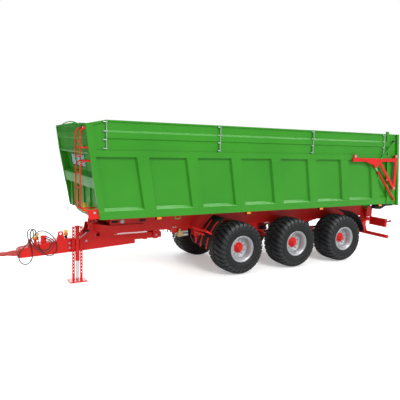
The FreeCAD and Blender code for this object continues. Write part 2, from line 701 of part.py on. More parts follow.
def front_wall():
    """Folded sheet between the side walls: flutes, a shelf, and a window panel set back."""
    face = [panel_at(z) for z, _ in front_folds]
    half = half_width_ledge
    shapes = [plate_xz(face + behind(face, front_sheet)[::-1], -half, half),
              front_plate(floor_z, floor_z + 40, -front_wall_depth, -34, -half, half)]
    back = -panel_setback - front_sheet
    shapes.append(plate_xz([front_at(soffit_z, back), front_at(soffit_z, -30),
                            front_at(2715, -4), front_at(2732, -4), front_at(ledge_z, -40),
                            front_at(ledge_z, -66), front_at(soffit_z + front_sheet, -66),
                            front_at(soffit_z + front_sheet, back)], -half, half))
    for y in (-960, -480, 0, 480, 960):
        shapes.append(panel_plate(floor_z + 4, 2006, -4, 28, y - 60, y + 60))
    skirt_low = 1380.0
    skirt = plate_yz([(-800, floor_z), (-550, skirt_low), (550, skirt_low), (800, floor_z),
                      (800, floor_z + 30), (-800, floor_z + 30)], 4500, 5500)
    shapes.append(front_plate(skirt_low, floor_z + 30, -40, -26, -1000, 1000).common(skirt))
    shapes.append(panel_plate(window_low - 36, window_high + 36, -6, 10,
                              window_right - 40, window_left + 40))
    wall = join(*shapes).cut(panel_plate(window_low, window_high, -60, 40,
                                         window_right, window_left))
    inner = half_width_floor - recess - skin
    slope = (half_width_ledge - half_width_floor) / (ledge_z - floor_z)
    width = []
    for side, z in ((-1, 1300.0), (1, 1300.0), (1, 2900.0), (-1, 2900.0)):
        width.append((side * (inner + slope * (z - floor_z)), z))
    return wall.common(plate_yz(width, 4500, 5500))


def window_pane():
    return panel_plate(window_low + 1, window_high - 1, -10, -4,
                       window_right + 1, window_left - 1)


def body_floor():
    """Floor sheet, its two long beams and cross beams, the hinge lugs and the lift ears.

    The telescope's eye lies between the ears, whose pin shows only as a head on each side.
    """
    inner = half_width_floor - recess - skin
    end_x = -3555.0
    beam_low, cross_low, sheet, cross_half = frame_top_z + 8, 1385.0, 12.0, 760
    shapes = [plate_xz([(end_x, floor_z), front_at(floor_z, -front_wall_depth),
                        front_at(floor_z + sheet, -front_wall_depth),
                        (end_x, floor_z + sheet)], -inner, inner)]
    shapes.append(block(end_x, end_x + 60, -inner, inner, cross_low, floor_z))
    x, z = tip_hinge
    for side in (1, -1):
        y0, y1 = sorted((side * (rail_y - 40), side * (rail_y + 40)))
        shapes.append(block(end_x + 60, 4800, y0, y1, beam_low, floor_z))
        lug0, lug1 = sorted((side * 540, side * 580))
        lug = [(x - 70, z), (x - 110, floor_z), (x + 260, floor_z), (x + 70, z)]
        shapes += [plate_xz(lug, lug0, lug1), pin_y(tip_hinge, lug0, lug1, 70)]
    for number in range(16):
        beam_x = -3080 + number * 520
        shapes.append(block(beam_x - 30, beam_x + 30, -cross_half, cross_half, cross_low, floor_z))
    solid = join(*shapes).cut(pin_y(tip_hinge, -700, 700, tip_pin_radius + pin_clearance))
    well = block(lift_head[0] - 130, lift_head[0] + 130, -50, 50, 1300, floor_z - 1)
    ears = []
    for side in (1, -1):
        y0, y1 = sorted((side * 50, side * 70))
        ears.append(block(lift_head[0] - 60, lift_head[0] + 60, y0, y1, 1350, floor_z))
        y0, y1 = sorted((side * 70, side * 78))
        ears.append(pin_y(lift_head, y0, y1, 24))
    return join(solid.cut(well), *ears)


def extension_side():
    """Sheet with a proud band, a top rim, and a post at each joint between sheets."""
    outer = extension_half_width
    inner = outer - extension_sheet
    section = [(inner, ledge_z), (outer, ledge_z), (outer, 2985), (outer + 24, 3000),
               (outer + 24, 3110), (outer, 3150), (outer, 3305), (outer + 20, 3310),
               (outer + 20, top_z), (inner, top_z)]
    sheet = plate_yz(section, extension_joints[-1], extension_joints[0])
    side_view = [(stanchion_foot_x, ledge_z), (extension_joints[0], ledge_z),
                 (extension_joints[0], stanchion_top_z), (stanchion_head_x, stanchion_top_z)]
    shapes = [sheet.common(plate_xz(side_view, 1000, 1400))]
    for x in extension_joints[1:3]:
        shapes.append(block(x - 25, x + 25, inner - 20, outer + 28, ledge_z, top_z - 5))
    return join(*shapes)


def front_extension():
    """Front sheet with its returns to the side sheets, corner posts and a low hoop."""
    outer = extension_half_width
    inner = outer - extension_sheet
    outline = [front_at(ledge_z, -54), front_at(ledge_z, -42), front_at(2985, -42),
               front_at(3000, -16), front_at(3095, -16), front_at(3150, -46),
               front_at(3215, -46), front_at(3220, -14), front_at(front_top_z, -20),
               front_at(front_top_z, -58)]
    shapes = [plate_xz(outline, -outer, outer)]
    joint_x = extension_joints[0] + 2
    for side in (1, -1):
        y0, y1 = sorted((side * inner, side * outer))
        shapes.append(plate_xz([(joint_x, ledge_z), front_at(ledge_z, -40),
                                front_at(front_top_z, -24), (joint_x, top_z)], y0, y1))
        y0, y1 = sorted((side * (inner - 30), side * (outer + 24)))
        shapes.append(plate_xz([front_at(ledge_z, -140), front_at(ledge_z, 0),
                                front_at(front_top_z, -20), front_at(front_top_z, -150)], y0, y1))
        y0, y1 = sorted((side * (outer - 2), side * (outer + 24)))
        shapes.append(plate_xz([(joint_x, top_z - 30), front_at(front_top_z - 25, -140),
                                front_at(front_top_z, -140), (joint_x, top_z)], y0, y1))
    hoop_x = front_at(front_top_z, -41)[0]
    feet, rise = (-750, 700), 62
    hoop = Part.Arc(V(hoop_x, feet[0], front_top_z - 6), V(hoop_x, sum(feet) / 2,
                    front_top_z + rise), V(hoop_x, feet[1], front_top_z - 6)).toShape()
    ring = Part.Circle(hoop.valueAt(hoop.FirstParameter), hoop.tangentAt(hoop.FirstParameter),
                       11.0).toShape()
    shapes.append(Part.Wire([hoop]).makePipeShell([Part.Wire([ring])], True, False))
    return join(*shapes)


ladder_x = 5255.0
ladder_rails = (850.0, 1170.0)
ladder_tube = 14.0
rung_tube = 11.0            # rungs and stand-offs
ladder_bend = 110.0         # inner line of the rails' round ends


def bent_rail(y, low_end, high_end):
    """A ladder rail. An end is (X, Z): it bends back to that X, or runs straight to Z."""
    edges = []
    run = [low_end[1], high_end[1]]
    for number, (x, z), up in ((0, low_end, 1), (1, high_end, -1)):
        if x == ladder_x:
            continue
        saved = ladder_bend * (1 - math.sqrt(0.5))
        run[number] = z + up * ladder_bend
        arc = Part.Arc(V(ladder_x - ladder_bend, y, z), V(ladder_x - saved, y, z + up * saved),
                       V(ladder_x, y, z + up * ladder_bend)).toShape()
        edges += [Part.LineSegment(V(x, y, z), V(ladder_x - ladder_bend, y, z)).toShape(), arc]
    edges.append(Part.LineSegment(V(ladder_x, y, run[0]), V(ladder_x, y, run[1])).toShape())
    path = Part.Wire(Part.sortEdges(edges)[0])
    start = path.OrderedVertexes[0].Point
    ring = Part.Circle(start, path.OrderedVertexes[1].Point - start, ladder_tube).toShape()
    tube = path.makePipeShell([Part.Wire([ring])], True, False)
    if tube.Volume < 0:
        tube.reverse()
    return tube


def foot_at(y, z):
    """X and Z where a ladder's fixing stands.

    The outer rail stands on the side wall's edge and on the corner post above it, the inner
    rail on the front wall and on the extension's sheet.
    """
    outer = y == ladder_rails[1]
    if z < rail_bottom_z:
        return front_at(z) if outer else panel_at(z)
    if outer:
        return front_at(z, -20.0 * (z - ledge_z) / (front_top_z - ledge_z))
    return front_at(z, -42 if z < 3000 else -46)


def ladders():
    """Lower and upper steps at the front left corner, and the lower one's gusset."""
    inner, outer = ladder_rails
    foot_half, sunk = 26, 11
    shapes = []
    for y in ladder_rails:
        for z in (1635, 2565, 2815, 3180):
            low, high = foot_at(y, z - foot_half), foot_at(y, z + foot_half)
            face = max(low[0], high[0]) + 12
            shapes.append(plate_xz([low, (face, z - foot_half), (face, z + foot_half), high],
                                   y - 24, y + 24))
        lower_foot, lower_head, middle, head = [
            (foot_at(y, z)[0] + sunk, z) for z in (1635, 2565, 2815, 3180)]
        shapes.append(bent_rail(y, lower_foot, lower_head))
        shapes.append(bent_rail(y, (ladder_x, 2625), head))
        shapes.append(rod((ladder_x, y, middle[1]), (middle[0], y, middle[1]), rung_tube))
    for z in (1785, 2065, 2340, 2640, 2935):
        shapes.append(rod((ladder_x, inner, z), (ladder_x, outer, z), rung_tube))
    gusset = plate_xz([front_at(1460), (5095, 1460), (5125, 1630), front_at(1635)],
                      outer - 6, outer + 6)
    return join(*shapes, gusset)


# ---------------------------------------------------------------- tailgate
def tailgate():
    """Pan with ribs, side cheeks that reach forward into the body, and the arm stays."""
    low, high, half = 1390.0, top_z, 1230.0
    shapes = [gate_plate(low, high, 0, gate_depth, -half, half)]
    for y in (-1180, -600, 0, 600, 1180):
        shapes.append(gate_plate(low, high - 40, -38, 2, y - 45, y + 45))
    for z in (1400, 2060, 2720, 3290):
        shapes.append(gate_plate(z, z + 50, -38, 2, -half, half))
    stay_pin = (-3195, 3110)
    for side in (1, -1):
        y0, y1 = sorted((side * 1146, side * 1178))
        shapes.append(plate_xz([gate_at(1430, gate_depth - 5), rear_at(1430, -12),
                                rear_at(ledge_z, -14), rear_at(high, -14),
                                gate_at(high, gate_depth - 5)], y0, y1))
        y0, y1 = sorted((side * 1170, side * 1286))
        shapes.append(pin_y(stay_pin, y0, y1, 12))
        y0, y1 = sorted((side * 1274, side * 1286))
        shapes.append(strut_xz(stay_pin, (-2711, 2660), 46, y0, y1))
        shapes.append(pin_y(stay_pin, y0, y1, 30))
    return join(*shapes)


def gate_arm():
    """Triangle of plates beside the body: the lifting beam, the upright and the brace.

    The cylinder's eye lies between the two ears, and its pin shows only as a head outside.
    """
    y0, y1 = arm_inner_y, arm_inner_y + arm_thickness
    pivot_x, pin_x = gate_pivot[0], gate_pin[0]
    low, high, rear_x = 2600, 2690, -3392
    beam = [(pivot_x + 80, low), (pivot_x + 80, high), (pivot_x + 40, 2775),
            (pivot_x - 40, 2775), (pivot_x - 90, high), (rear_x, high), (rear_x, low)]
    shapes = [plate_xz(beam, y0, y1),
              strut_xz((-3355, 1830), (-3345, 2785), 95, y0, y1),
              strut_xz((pin_x - 148, low), (-3350, 1865), 76, y0, y1)]
    belly = [(pin_x - 180, low), (pin_x - 140, 2535), (pin_x - 60, 2478), (pin_x - 35, 2435),
             (pin_x + 35, 2435), (pin_x + 60, 2490), (pin_x + 100, 2520), (pin_x + 380, low)]
    shapes.append(plate_xz(belly, y0 - 8, y1 + 8))
    arm = join(*shapes)
    arm = arm.cut(pin_y(gate_pivot, 1200, 1300, gate_pivot_radius + pin_clearance))
    arm = arm.cut(block(pin_x - 65, pin_x + 240, y0, y1, 2400, 2572))
    pins = [pin_y(gate_pin, y1 + 8, y1 + 12, 20)]
    for place in ((-3345, 2745), (-3350, 1880)):
        pins.append(pin_y(place, 1178, y0 + 5, 22))
    return join(arm, *pins)


def along_gate_cylinder(distance):
    """A point on the cylinder's line, that far from its base pin."""
    direction = V(gate_pin[0] - gate_base[0], 0, gate_pin[1] - gate_base[1]).normalize()
    return (gate_base[0] + direction.x * distance, gate_cylinder_y,
            gate_base[1] + direction.z * distance)


def gate_barrel():
    eye = pin_y(gate_base, gate_cylinder_y - 11, gate_cylinder_y + 11, 30)
    tube = rod(along_gate_cylinder(25), along_gate_cylinder(1080), 27)
    solid = join(eye, tube).cut(pin_y(gate_base, 1200, 1300, gate_base_radius + pin_clearance))
    return solid.cut(rod(along_gate_cylinder(60), along_gate_cylinder(1090), 17.5))


def gate_rod():
    length = math.hypot(gate_pin[0] - gate_base[0], gate_pin[1] - gate_base[1])
    eye = pin_y(gate_pin, gate_cylinder_y - 11, gate_cylinder_y + 11, 27)
    shaft = rod(along_gate_cylinder(100), along_gate_cylinder(length - 160), 15)
    neck = rod(along_gate_cylinder(length - 165), along_gate_cylinder(length - 15), 11)
    return join(eye, shaft, neck).cut(pin_y(gate_pin, 1200, 1300, gate_pin_radius + pin_clearance))


# ---------------------------------------------------------------- tipping cylinder
def lift_barrel():
    x, z = lift_pivot
    tube = rod((x, 0, 580), (x, 0, 1300), 95)
    bore = rod((x, 0, 600), (x, 0, 1310), 84)
    return join(tube, pin_y(lift_pivot, -178, 178, trunnion_radius)).cut(bore)


def lift_stage(number):
    """One tube of the telescope; the last one is solid and carries the head's eye."""
    x = lift_pivot[0]
    outer = 82 - 11 * (number - 1)
    low = 602 + 6 * number
    high = 1303 + 5 * number
    stage = rod((x, 0, low), (x, 0, high), outer)
    if number < lift_stages:
        return stage.cut(rod((x, 0, low + 4), (x, 0, high + 1), outer - 9))
    neck = rod((x, 0, high - 2), (x, 0, lift_head[1]), 22)
    eye = pin_y(lift_head, -45, 45, 33)
    return join(stage, neck, eye).cut(pin_y(lift_head, -80, 80, lift_pin_radius + pin_clearance))


# ---------------------------------------------------------------- writing the nodes
os.makedirs("parts", exist_ok=True)

write(both_sides(main_rail()), "main_rails")
write(cross_members(), "cross_members")
write(front_neck(), "front_neck")
write(drawbar(), "drawbar")
write(coupling_eye(), "coupling_eye")
for name, number in (("front", 1), ("middle", 0), ("rear", -1)):
    x = number * axle_spacing
    write(axle(x), "axle_" + name)
    for side_name, side in (("left", 1), ("right", -1)):
        centre = (x, side * half_track, tyre_radius)
        write(tyre(centre), "tyre_" + name + "_" + side_name)
        write(wheel_centre(centre, side), "wheel_" + name + "_" + side_name)
write(both_sides(*[leaf_pack(number * axle_spacing) for number in (1, 0, -1)]), "leaf_springs")
write(both_sides(*[spring_hanger(x) for x in hanger_places]), "spring_hangers")
write(mudguards(), "mudguards")
write(mudguard_brackets(), "mudguard_brackets")
write(rear_guard(), "rear_guard")
write(rear_lamps(), "rear_lamps")
write(jack_sleeve(), "jack_sleeve")
write(jack_leg(), "jack_leg")
for name in hose_routes:
    write(hose(name), name)
write(hose_couplings(), "hose_couplings")
write(hose_rest(), "hose_rest")
write(body_floor(), "body_floor")
write(side_wall(), "side_wall_left")
write(mirrored(side_wall()), "side_wall_right")
write(front_wall(), "front_wall")
write(window_pane(), "window_pane")
write(extension_side(), "extension_left")
write(mirrored(extension_side()), "extension_right")
write(front_extension(), "extension_front")
write(ladders(), "ladders")
write(tailgate(), "tailgate")
write(gate_arm(), "gate_arm_left")
write(mirrored(gate_arm()), "gate_arm_right")
write(gate_barrel(), "gate_barrel_left")
write(mirrored(gate_barrel()), "gate_barrel_right")
write(gate_rod(), "gate_rod_left")
write(mirrored(gate_rod()), "gate_rod_right")
write(lift_barrel(), "lift_barrel")
for stage in range(1, lift_stages + 1):
    write(lift_stage(stage), "lift_stage_" + str(stage))
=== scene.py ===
# %% [markdown]
# # A three-axle farm tipping trailer
# The steel frame, wheels and body were drawn as solids in a CAD program. This lesson dresses
# them: it gives every solid a finish, swaps the plain wheels for detailed ones, and adds the
# hoses, lamps, bolts and small fittings. Lengths are in metres, +X points to the drawbar,
# +Y to the left side and +Z up.

# %% Load the solids
import math
import bmesh
import bpy
from mathutils import Matrix, Vector


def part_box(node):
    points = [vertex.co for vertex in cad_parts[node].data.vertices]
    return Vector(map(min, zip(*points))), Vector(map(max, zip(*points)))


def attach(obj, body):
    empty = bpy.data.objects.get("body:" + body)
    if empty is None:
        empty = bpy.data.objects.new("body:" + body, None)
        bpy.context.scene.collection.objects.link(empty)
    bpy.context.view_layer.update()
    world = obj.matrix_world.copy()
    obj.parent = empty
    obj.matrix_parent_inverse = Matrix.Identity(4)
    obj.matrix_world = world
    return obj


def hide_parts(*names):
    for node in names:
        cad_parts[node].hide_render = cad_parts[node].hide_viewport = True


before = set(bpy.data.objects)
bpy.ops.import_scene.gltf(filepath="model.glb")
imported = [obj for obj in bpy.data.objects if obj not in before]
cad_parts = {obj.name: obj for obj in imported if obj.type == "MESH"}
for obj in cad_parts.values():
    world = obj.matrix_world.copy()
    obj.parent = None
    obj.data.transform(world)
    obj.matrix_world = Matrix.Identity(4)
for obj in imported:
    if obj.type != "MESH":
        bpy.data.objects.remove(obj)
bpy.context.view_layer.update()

# %% [markdown]
# ## Where things are
# The drawing measures along the trailer from the middle axle, because that is how a trailer
# is set out in the workshop. One helper turns such a place into a point of this scene, so
# the same numbers can be used in both files. A second one puts a new object in the scene.

# %% Places along the trailer
low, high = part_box("axle_middle")
middle_axle_x = (low.x + high.x) / 2
AXLES = {"front": 1.6, "middle": 0.0, "rear": -1.6}
SIDES = {"left": 1, "right": -1}
HALF_TRACK = 0.968
TYRE_RADIUS = 0.6


def place(x, y, z):
    return Vector((middle_axle_x + x, y, z))


WHEELS = [(f"{axle_name}_{side_name}", side, place(axle_x, side * HALF_TRACK, TYRE_RADIUS))
          for axle_name, axle_x in AXLES.items() for side_name, side in SIDES.items()]


def put_in_scene(name, data):
    """A new object at the origin, in the scene's own collection."""
    placed = bpy.data.objects.new(name, data)
    bpy.context.scene.collection.objects.link(placed)
    return placed


print("middle axle at", round(middle_axle_x, 3))

# %% [markdown]
# ## The camera
# A long trailer looks its real length when the camera stands well to one side, a little lower
# than the body's top edge, with a normal lens. Its turn is built from three directions at
# right angles: where it looks, its right, and its top, with a slight roll about the first.

# %% Camera
camera_data = bpy.data.cameras.new("camera")
camera = put_in_scene("camera", camera_data)
CAMERA_PLACE = (7.52, 9.723, 2.984)
CAMERA_TURNS = (-119.43, 7.16, 1.75)
camera_yaw, camera_down, camera_roll = (math.radians(degrees) for degrees in CAMERA_TURNS)
looking = Vector((math.cos(camera_down) * math.cos(camera_yaw),
                  math.cos(camera_down) * math.sin(camera_yaw), -math.sin(camera_down)))
level_right = looking.cross(Vector((0, 0, 1))).normalized()
level_top = level_right.cross(looking)
right = level_right * math.cos(camera_roll) + level_top * math.sin(camera_roll)
top = level_top * math.cos(camera_roll) - level_right * math.sin(camera_roll)
turn = Matrix((right, top, -looking)).transposed().to_4x4()
camera.matrix_world = Matrix.Translation(place(*CAMERA_PLACE)) @ turn
camera_data.sensor_width = 36.0
camera_data.lens = 41.72
bpy.context.scene.camera = camera
bpy.context.scene.view_settings.view_transform = "Standard"
print("camera at", [round(v, 2) for v in camera.matrix_world.translation])

# %% [markdown]
# ## Shader helpers
# Every finish below is one Principled shader with a little life in it: paint that differs by
# a few percent from panel to panel, a fine ripple like orange peel, and dust that gathers low
# down. Noise in Object coordinates gives all three, because it needs no unwrapping and stays
# put on the piece. A few helpers keep the node code short.


# %% Shader helpers
def new_material(name):
    material = bpy.data.materials.new(name)
    material.use_nodes = True
    nodes = material.node_tree.nodes
    return material, material.node_tree, nodes["Principled BSDF"]


def noise_mask(tree, scale, low_edge, high_edge, detail=4.0, stretch=(1, 1, 1)):
    """Noise in Object coordinates, squeezed to 0..1 between two of its values."""
    nodes, links = tree.nodes, tree.links
    coordinates = nodes.new("ShaderNodeTexCoord")
    mapping = nodes.new("ShaderNodeMapping")
    mapping.inputs["Scale"].default_value = stretch
    noise = nodes.new("ShaderNodeTexNoise")
    noise.inputs["Scale"].default_value = scale
    noise.inputs["Detail"].default_value = detail
    squeeze = nodes.new("ShaderNodeMapRange")
    squeeze.inputs["From Min"].default_value = low_edge
    squeeze.inputs["From Max"].default_value = high_edge
    links.new(coordinates.outputs["Object"], mapping.inputs["Vector"])
    links.new(mapping.outputs["Vector"], noise.inputs["Vector"])
    links.new(noise.outputs["Fac"], squeeze.inputs["Value"])
    return squeeze.outputs["Result"]


def mix_colours(tree, mask, first, second):
    """A colour that goes from first to second with the mask. Each is a tuple or a socket."""
    mix = tree.nodes.new("ShaderNodeMix")
    mix.data_type = "RGBA"
    tree.links.new(mask, mix.inputs["Factor"])
    for socket, colour in ((mix.inputs["A"], first), (mix.inputs["B"], second)):
        if isinstance(colour, tuple):
            socket.default_value = (*colour, 1.0)
        else:
            tree.links.new(colour, socket)
    return mix.outputs["Result"]


def vary(tree, socket, mask, low_value, high_value):
    """Drives a shader number from low_value to high_value with the mask."""
    spread = tree.nodes.new("ShaderNodeMapRange")
    spread.inputs["To Min"].default_value = low_value
    spread.inputs["To Max"].default_value = high_value
    tree.links.new(mask, spread.inputs["Value"])
    tree.links.new(spread.outputs["Result"], socket)


def ripple(tree, shader, mask, depth):
    """Surface relief from a mask, depth in metres."""
    bump = tree.nodes.new("ShaderNodeBump")
    bump.inputs["Distance"].default_value = depth
    tree.links.new(mask, bump.inputs["Height"])
    tree.links.new(bump.outputs["Normal"], shader.inputs["Normal"])


def height_mask(tree, bottom, top_height):
    """1 at or below bottom, 0 at or above top_height, in metres above the ground."""
    nodes, links = tree.nodes, tree.links
    coordinates = nodes.new("ShaderNodeTexCoord")
    parts = nodes.new("ShaderNodeSeparateXYZ")
    fade = nodes.new("ShaderNodeMapRange")
    fade.inputs["From Min"].default_value = bottom
    fade.inputs["From Max"].default_value = top_height
    fade.inputs["To Min"].default_value = 1.0
    fade.inputs["To Max"].default_value = 0.0
    links.new(coordinates.outputs["Object"], parts.inputs["Vector"])
    links.new(parts.outputs["Z"], fade.inputs["Value"])
    return fade.outputs["Result"]


def multiply(tree, first, second):
    product = tree.nodes.new("ShaderNodeMath")
    product.operation = "MULTIPLY"
    for socket, value in zip(product.inputs, (first, second)):
        if isinstance(value, float):
            socket.default_value = value
        else:
            tree.links.new(value, socket)
    return product.outputs["Value"]


# %% [markdown]
# ## Paint
# Farm trailers are sprayed with thick gloss enamel. Red covers the running gear, green the
# body. The colour wanders a little over a metre or two, thins to a paler tone in small worn
# specks, and takes a film of dust low down.


# %% Painted metal
def enamel(name, colour, deep, dust, roughness, dust_heights=(0.0, 0.9), dusting=0.35):
    material, tree, shader = new_material(name)
    broad = noise_mask(tree, 0.9, 0.35, 0.65, detail=2.0)
    painted = mix_colours(tree, broad, colour, deep)
    specks = noise_mask(tree, 38.0, 0.70, 0.78, detail=6.0)
    worn = mix_colours(tree, multiply(tree, specks, 0.25), painted, dust)
    cloud = noise_mask(tree, 5.0, 0.35, 0.75, detail=5.0)
    film = multiply(tree, multiply(tree, cloud, height_mask(tree, *dust_heights)), dusting)
    tree.links.new(mix_colours(tree, film, worn, dust), shader.inputs["Base Color"])
    streaks = noise_mask(tree, 3.0, 0.3, 0.7, detail=5.0, stretch=(1, 1, 0.3))
    vary(tree, shader.inputs["Roughness"], streaks, roughness - 0.05, roughness + 0.09)
    ripple(tree, shader, noise_mask(tree, 90.0, 0.3, 0.7, detail=2.0), 0.0003)
    shader.inputs["Specular IOR Level"].default_value = 0.22
    shader.inputs["Coat Weight"].default_value = 0.08
    shader.inputs["Coat Roughness"].default_value = 0.15
    return material


red_enamel = enamel("red_enamel", (0.67, 0.013, 0.009), (0.60, 0.010, 0.008),
                    (0.50, 0.10, 0.07), 0.36, dusting=0.12)
green_enamel = enamel("green_enamel", (0.036, 0.275, 0.014), (0.030, 0.250, 0.012),
                      (0.16, 0.36, 0.12), 0.34, dust_heights=(1.2, 2.2), dusting=0.06)
print("enamels", red_enamel.name, green_enamel.name)

# %% [markdown]
# ## Metal, rubber, plastic and glass
# The rims carry silver lacquer, the hydraulic rods are chromed, and bolts and small rods are
# galvanised, which shows as a pattern of grey flakes about a centimetre wide. Rubber is nearly
# black, rough, and greyer in dusty patches. The tops of the tyres' bars are painted a little
# paler, a painted highlight for the light falling on them: a mesh can carry a number on each
# of its points, and the material reads it to know where those places are.


# %% Bare and coated metal
def metal(name, colour, second, roughness, metallic, flake_scale, flake_depth):
    material, tree, shader = new_material(name)
    flakes = noise_mask(tree, flake_scale, 0.35, 0.65, detail=3.0)
    tree.links.new(mix_colours(tree, flakes, colour, second), shader.inputs["Base Color"])
    smears = noise_mask(tree, 7.0, 0.3, 0.7, detail=6.0)
    vary(tree, shader.inputs["Roughness"], smears, roughness - 0.06, roughness + 0.1)
    ripple(tree, shader, flakes, flake_depth)
    shader.inputs["Metallic"].default_value = metallic
    return material


silver_lacquer = metal("silver_lacquer", (0.50, 0.51, 0.53), (0.42, 0.43, 0.45),
                       0.36, 0.60, 140.0, 0.0002)
galvanised = metal("galvanised", (0.50, 0.52, 0.54), (0.36, 0.38, 0.40),
                   0.42, 0.75, 75.0, 0.0004)
chrome = metal("chrome", (0.78, 0.79, 0.81), (0.72, 0.73, 0.75), 0.16, 1.0, 220.0, 0.00005)
brass = metal("brass", (0.62, 0.45, 0.20), (0.48, 0.33, 0.14), 0.38, 0.9, 90.0, 0.0003)
cast_steel = metal("cast_steel", (0.60, 0.05, 0.035), (0.34, 0.05, 0.04),
                   0.5, 0.15, 60.0, 0.001)


# %% Rubber and moulded plastic
def moulded(name, colour, dusty, roughness, grain_scale, grain_depth, dust_amount):
    material, tree, shader = new_material(name)
    cloud = noise_mask(tree, 6.0, 0.40, 0.75, detail=6.0)
    tree.links.new(mix_colours(tree, multiply(tree, cloud, dust_amount), colour, dusty),
                   shader.inputs["Base Color"])
    vary(tree, shader.inputs["Roughness"], cloud, roughness, min(1.0, roughness + 0.15))
    ripple(tree, shader, noise_mask(tree, grain_scale, 0.3, 0.7, detail=3.0), grain_depth)
    shader.inputs["Specular IOR Level"].default_value = 0.3
    return material


tyre_rubber = moulded("tyre_rubber", (0.0065, 0.0065, 0.007), (0.020, 0.0195, 0.019),
                      0.50, 120.0, 0.0006, 0.45)
hose_rubber = moulded("hose_rubber", (0.014, 0.014, 0.015), (0.05, 0.05, 0.05),
                      0.42, 260.0, 0.0002, 0.3)
black_plastic = moulded("black_plastic", (0.006, 0.006, 0.0065), (0.020, 0.020, 0.021),
                        0.62, 300.0, 0.0003, 0.3)
orange_plastic = moulded("orange_plastic", (0.80, 0.20, 0.01), (0.62, 0.18, 0.03),
                         0.40, 200.0, 0.0002, 0.4)
yellow_plastic = moulded("yellow_plastic", (0.86, 0.50, 0.015), (0.70, 0.42, 0.05),
                         0.38, 200.0, 0.0002, 0.5)
white_plastic = moulded("white_plastic", (0.70, 0.71, 0.72), (0.55, 0.55, 0.54),
                        0.40, 200.0, 0.0002, 0.5)


def paint_highlight_by_number(material, number_name, highlight_colour):
    """Blends to a painted highlight colour where the mesh's own number of that name is 1."""
    tree = material.node_tree
    colour_input = tree.nodes["Principled BSDF"].inputs["Base Color"]
    number = tree.nodes.new("ShaderNodeAttribute")
    number.attribute_name = number_name
    plain_colour = colour_input.links[0].from_socket
    tree.links.new(mix_colours(tree, number.outputs["Fac"], plain_colour, highlight_colour), colour_input)


# The tops of the tyres' bars are painted paler: a painted highlight for the light on them.
paint_highlight_by_number(tyre_rubber, "bar_top", (0.022, 0.023, 0.025))


# %% Lamp lenses and the clear sheet
def lens(name, colour, glow):
    """A ribbed, softly glossy lens: small ribs across it catch the light in lines."""
    material, tree, shader = new_material(name)
    coordinates = tree.nodes.new("ShaderNodeTexCoord")
    ribs = tree.nodes.new("ShaderNodeTexWave")
    ribs.inputs["Scale"].default_value = 40.0
    ribs.bands_direction = "Z"
    tree.links.new(coordinates.outputs["Object"], ribs.inputs["Vector"])
    shade = tuple(channel * 0.72 for channel in colour)
    tree.links.new(mix_colours(tree, ribs.outputs["Fac"], colour, shade),
                   shader.inputs["Base Color"])
    ripple(tree, shader, ribs.outputs["Fac"], 0.001)
    shader.inputs["Roughness"].default_value = 0.18
    shader.inputs["Coat Weight"].default_value = 0.25
    shader.inputs["Emission Color"].default_value = (*colour, 1.0)
    shader.inputs["Emission Strength"].default_value = glow
    return material


amber_lens = lens("amber_lens", (0.92, 0.27, 0.004), 0.05)
red_lens = lens("red_lens", (0.62, 0.015, 0.01), 0.10)


def clear_sheet(name):
    material, tree, shader = new_material(name)
    haze = noise_mask(tree, 4.0, 0.35, 0.7, detail=4.0)
    tree.links.new(mix_colours(tree, haze, (0.50, 0.66, 0.78), (0.62, 0.74, 0.82)),
                   shader.inputs["Base Color"])
    vary(tree, shader.inputs["Roughness"], haze, 0.06, 0.16)
    shader.inputs["Alpha"].default_value = 0.55
    return material


window_sheet = clear_sheet("window_sheet")

# %% [markdown]
# ## Finishes for the solids
# Each solid gets the finish of its real part. The table goes from a finish to the names of
# its solids; wheels, tyres and hoses come later, because new pieces stand for them.

# %% Finishes for the solids
FINISH_OF_SOLID = [
    (red_enamel, ["main_rails", "cross_members", "front_neck", "drawbar", "leaf_springs",
                  "spring_hangers", "mudguard_brackets", "rear_guard", "hose_rest",
                  "jack_sleeve", "jack_leg", "ladders", "axle_front", "axle_middle",
                  "axle_rear", "gate_arm_left", "gate_arm_right", "gate_barrel_left",
                  "gate_barrel_right", "lift_barrel"]),
    (green_enamel, ["body_floor", "side_wall_left", "side_wall_right", "front_wall",
                    "extension_left", "extension_right", "extension_front", "tailgate"]),
    (chrome, ["gate_rod_left", "gate_rod_right"] + [f"lift_stage_{n}" for n in range(1, 6)]),
    (black_plastic, ["mudguards"]),
    (cast_steel, ["coupling_eye"]),
    (window_sheet, ["window_pane"]),
    (red_lens, ["rear_lamps"]),
    (yellow_plastic, ["hose_couplings"]),
]
for finish, names in FINISH_OF_SOLID:
    for name in names:
        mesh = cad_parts[name].data
        mesh.materials.clear()
        mesh.materials.append(finish)
print("finished", sum(len(names) for _, names in FINISH_OF_SOLID), "solids")

# %% [markdown]
# ## The floor and the light
# A studio floor that fades into a white backdrop keeps the eye on the machine. One broad lamp
# lights the left side, and a pale sky fills the rest, so the front stays darker than the side.
# To the camera the sky is plain white, and the floor adds a little glow of its own, which
# still leaves the soft shadow under the wheels. Gloss paint also needs something to mirror:
# a bright screen behind the far side, a long lamp overhead, and a dark card past the front
# corner. The camera doesn't see these three.

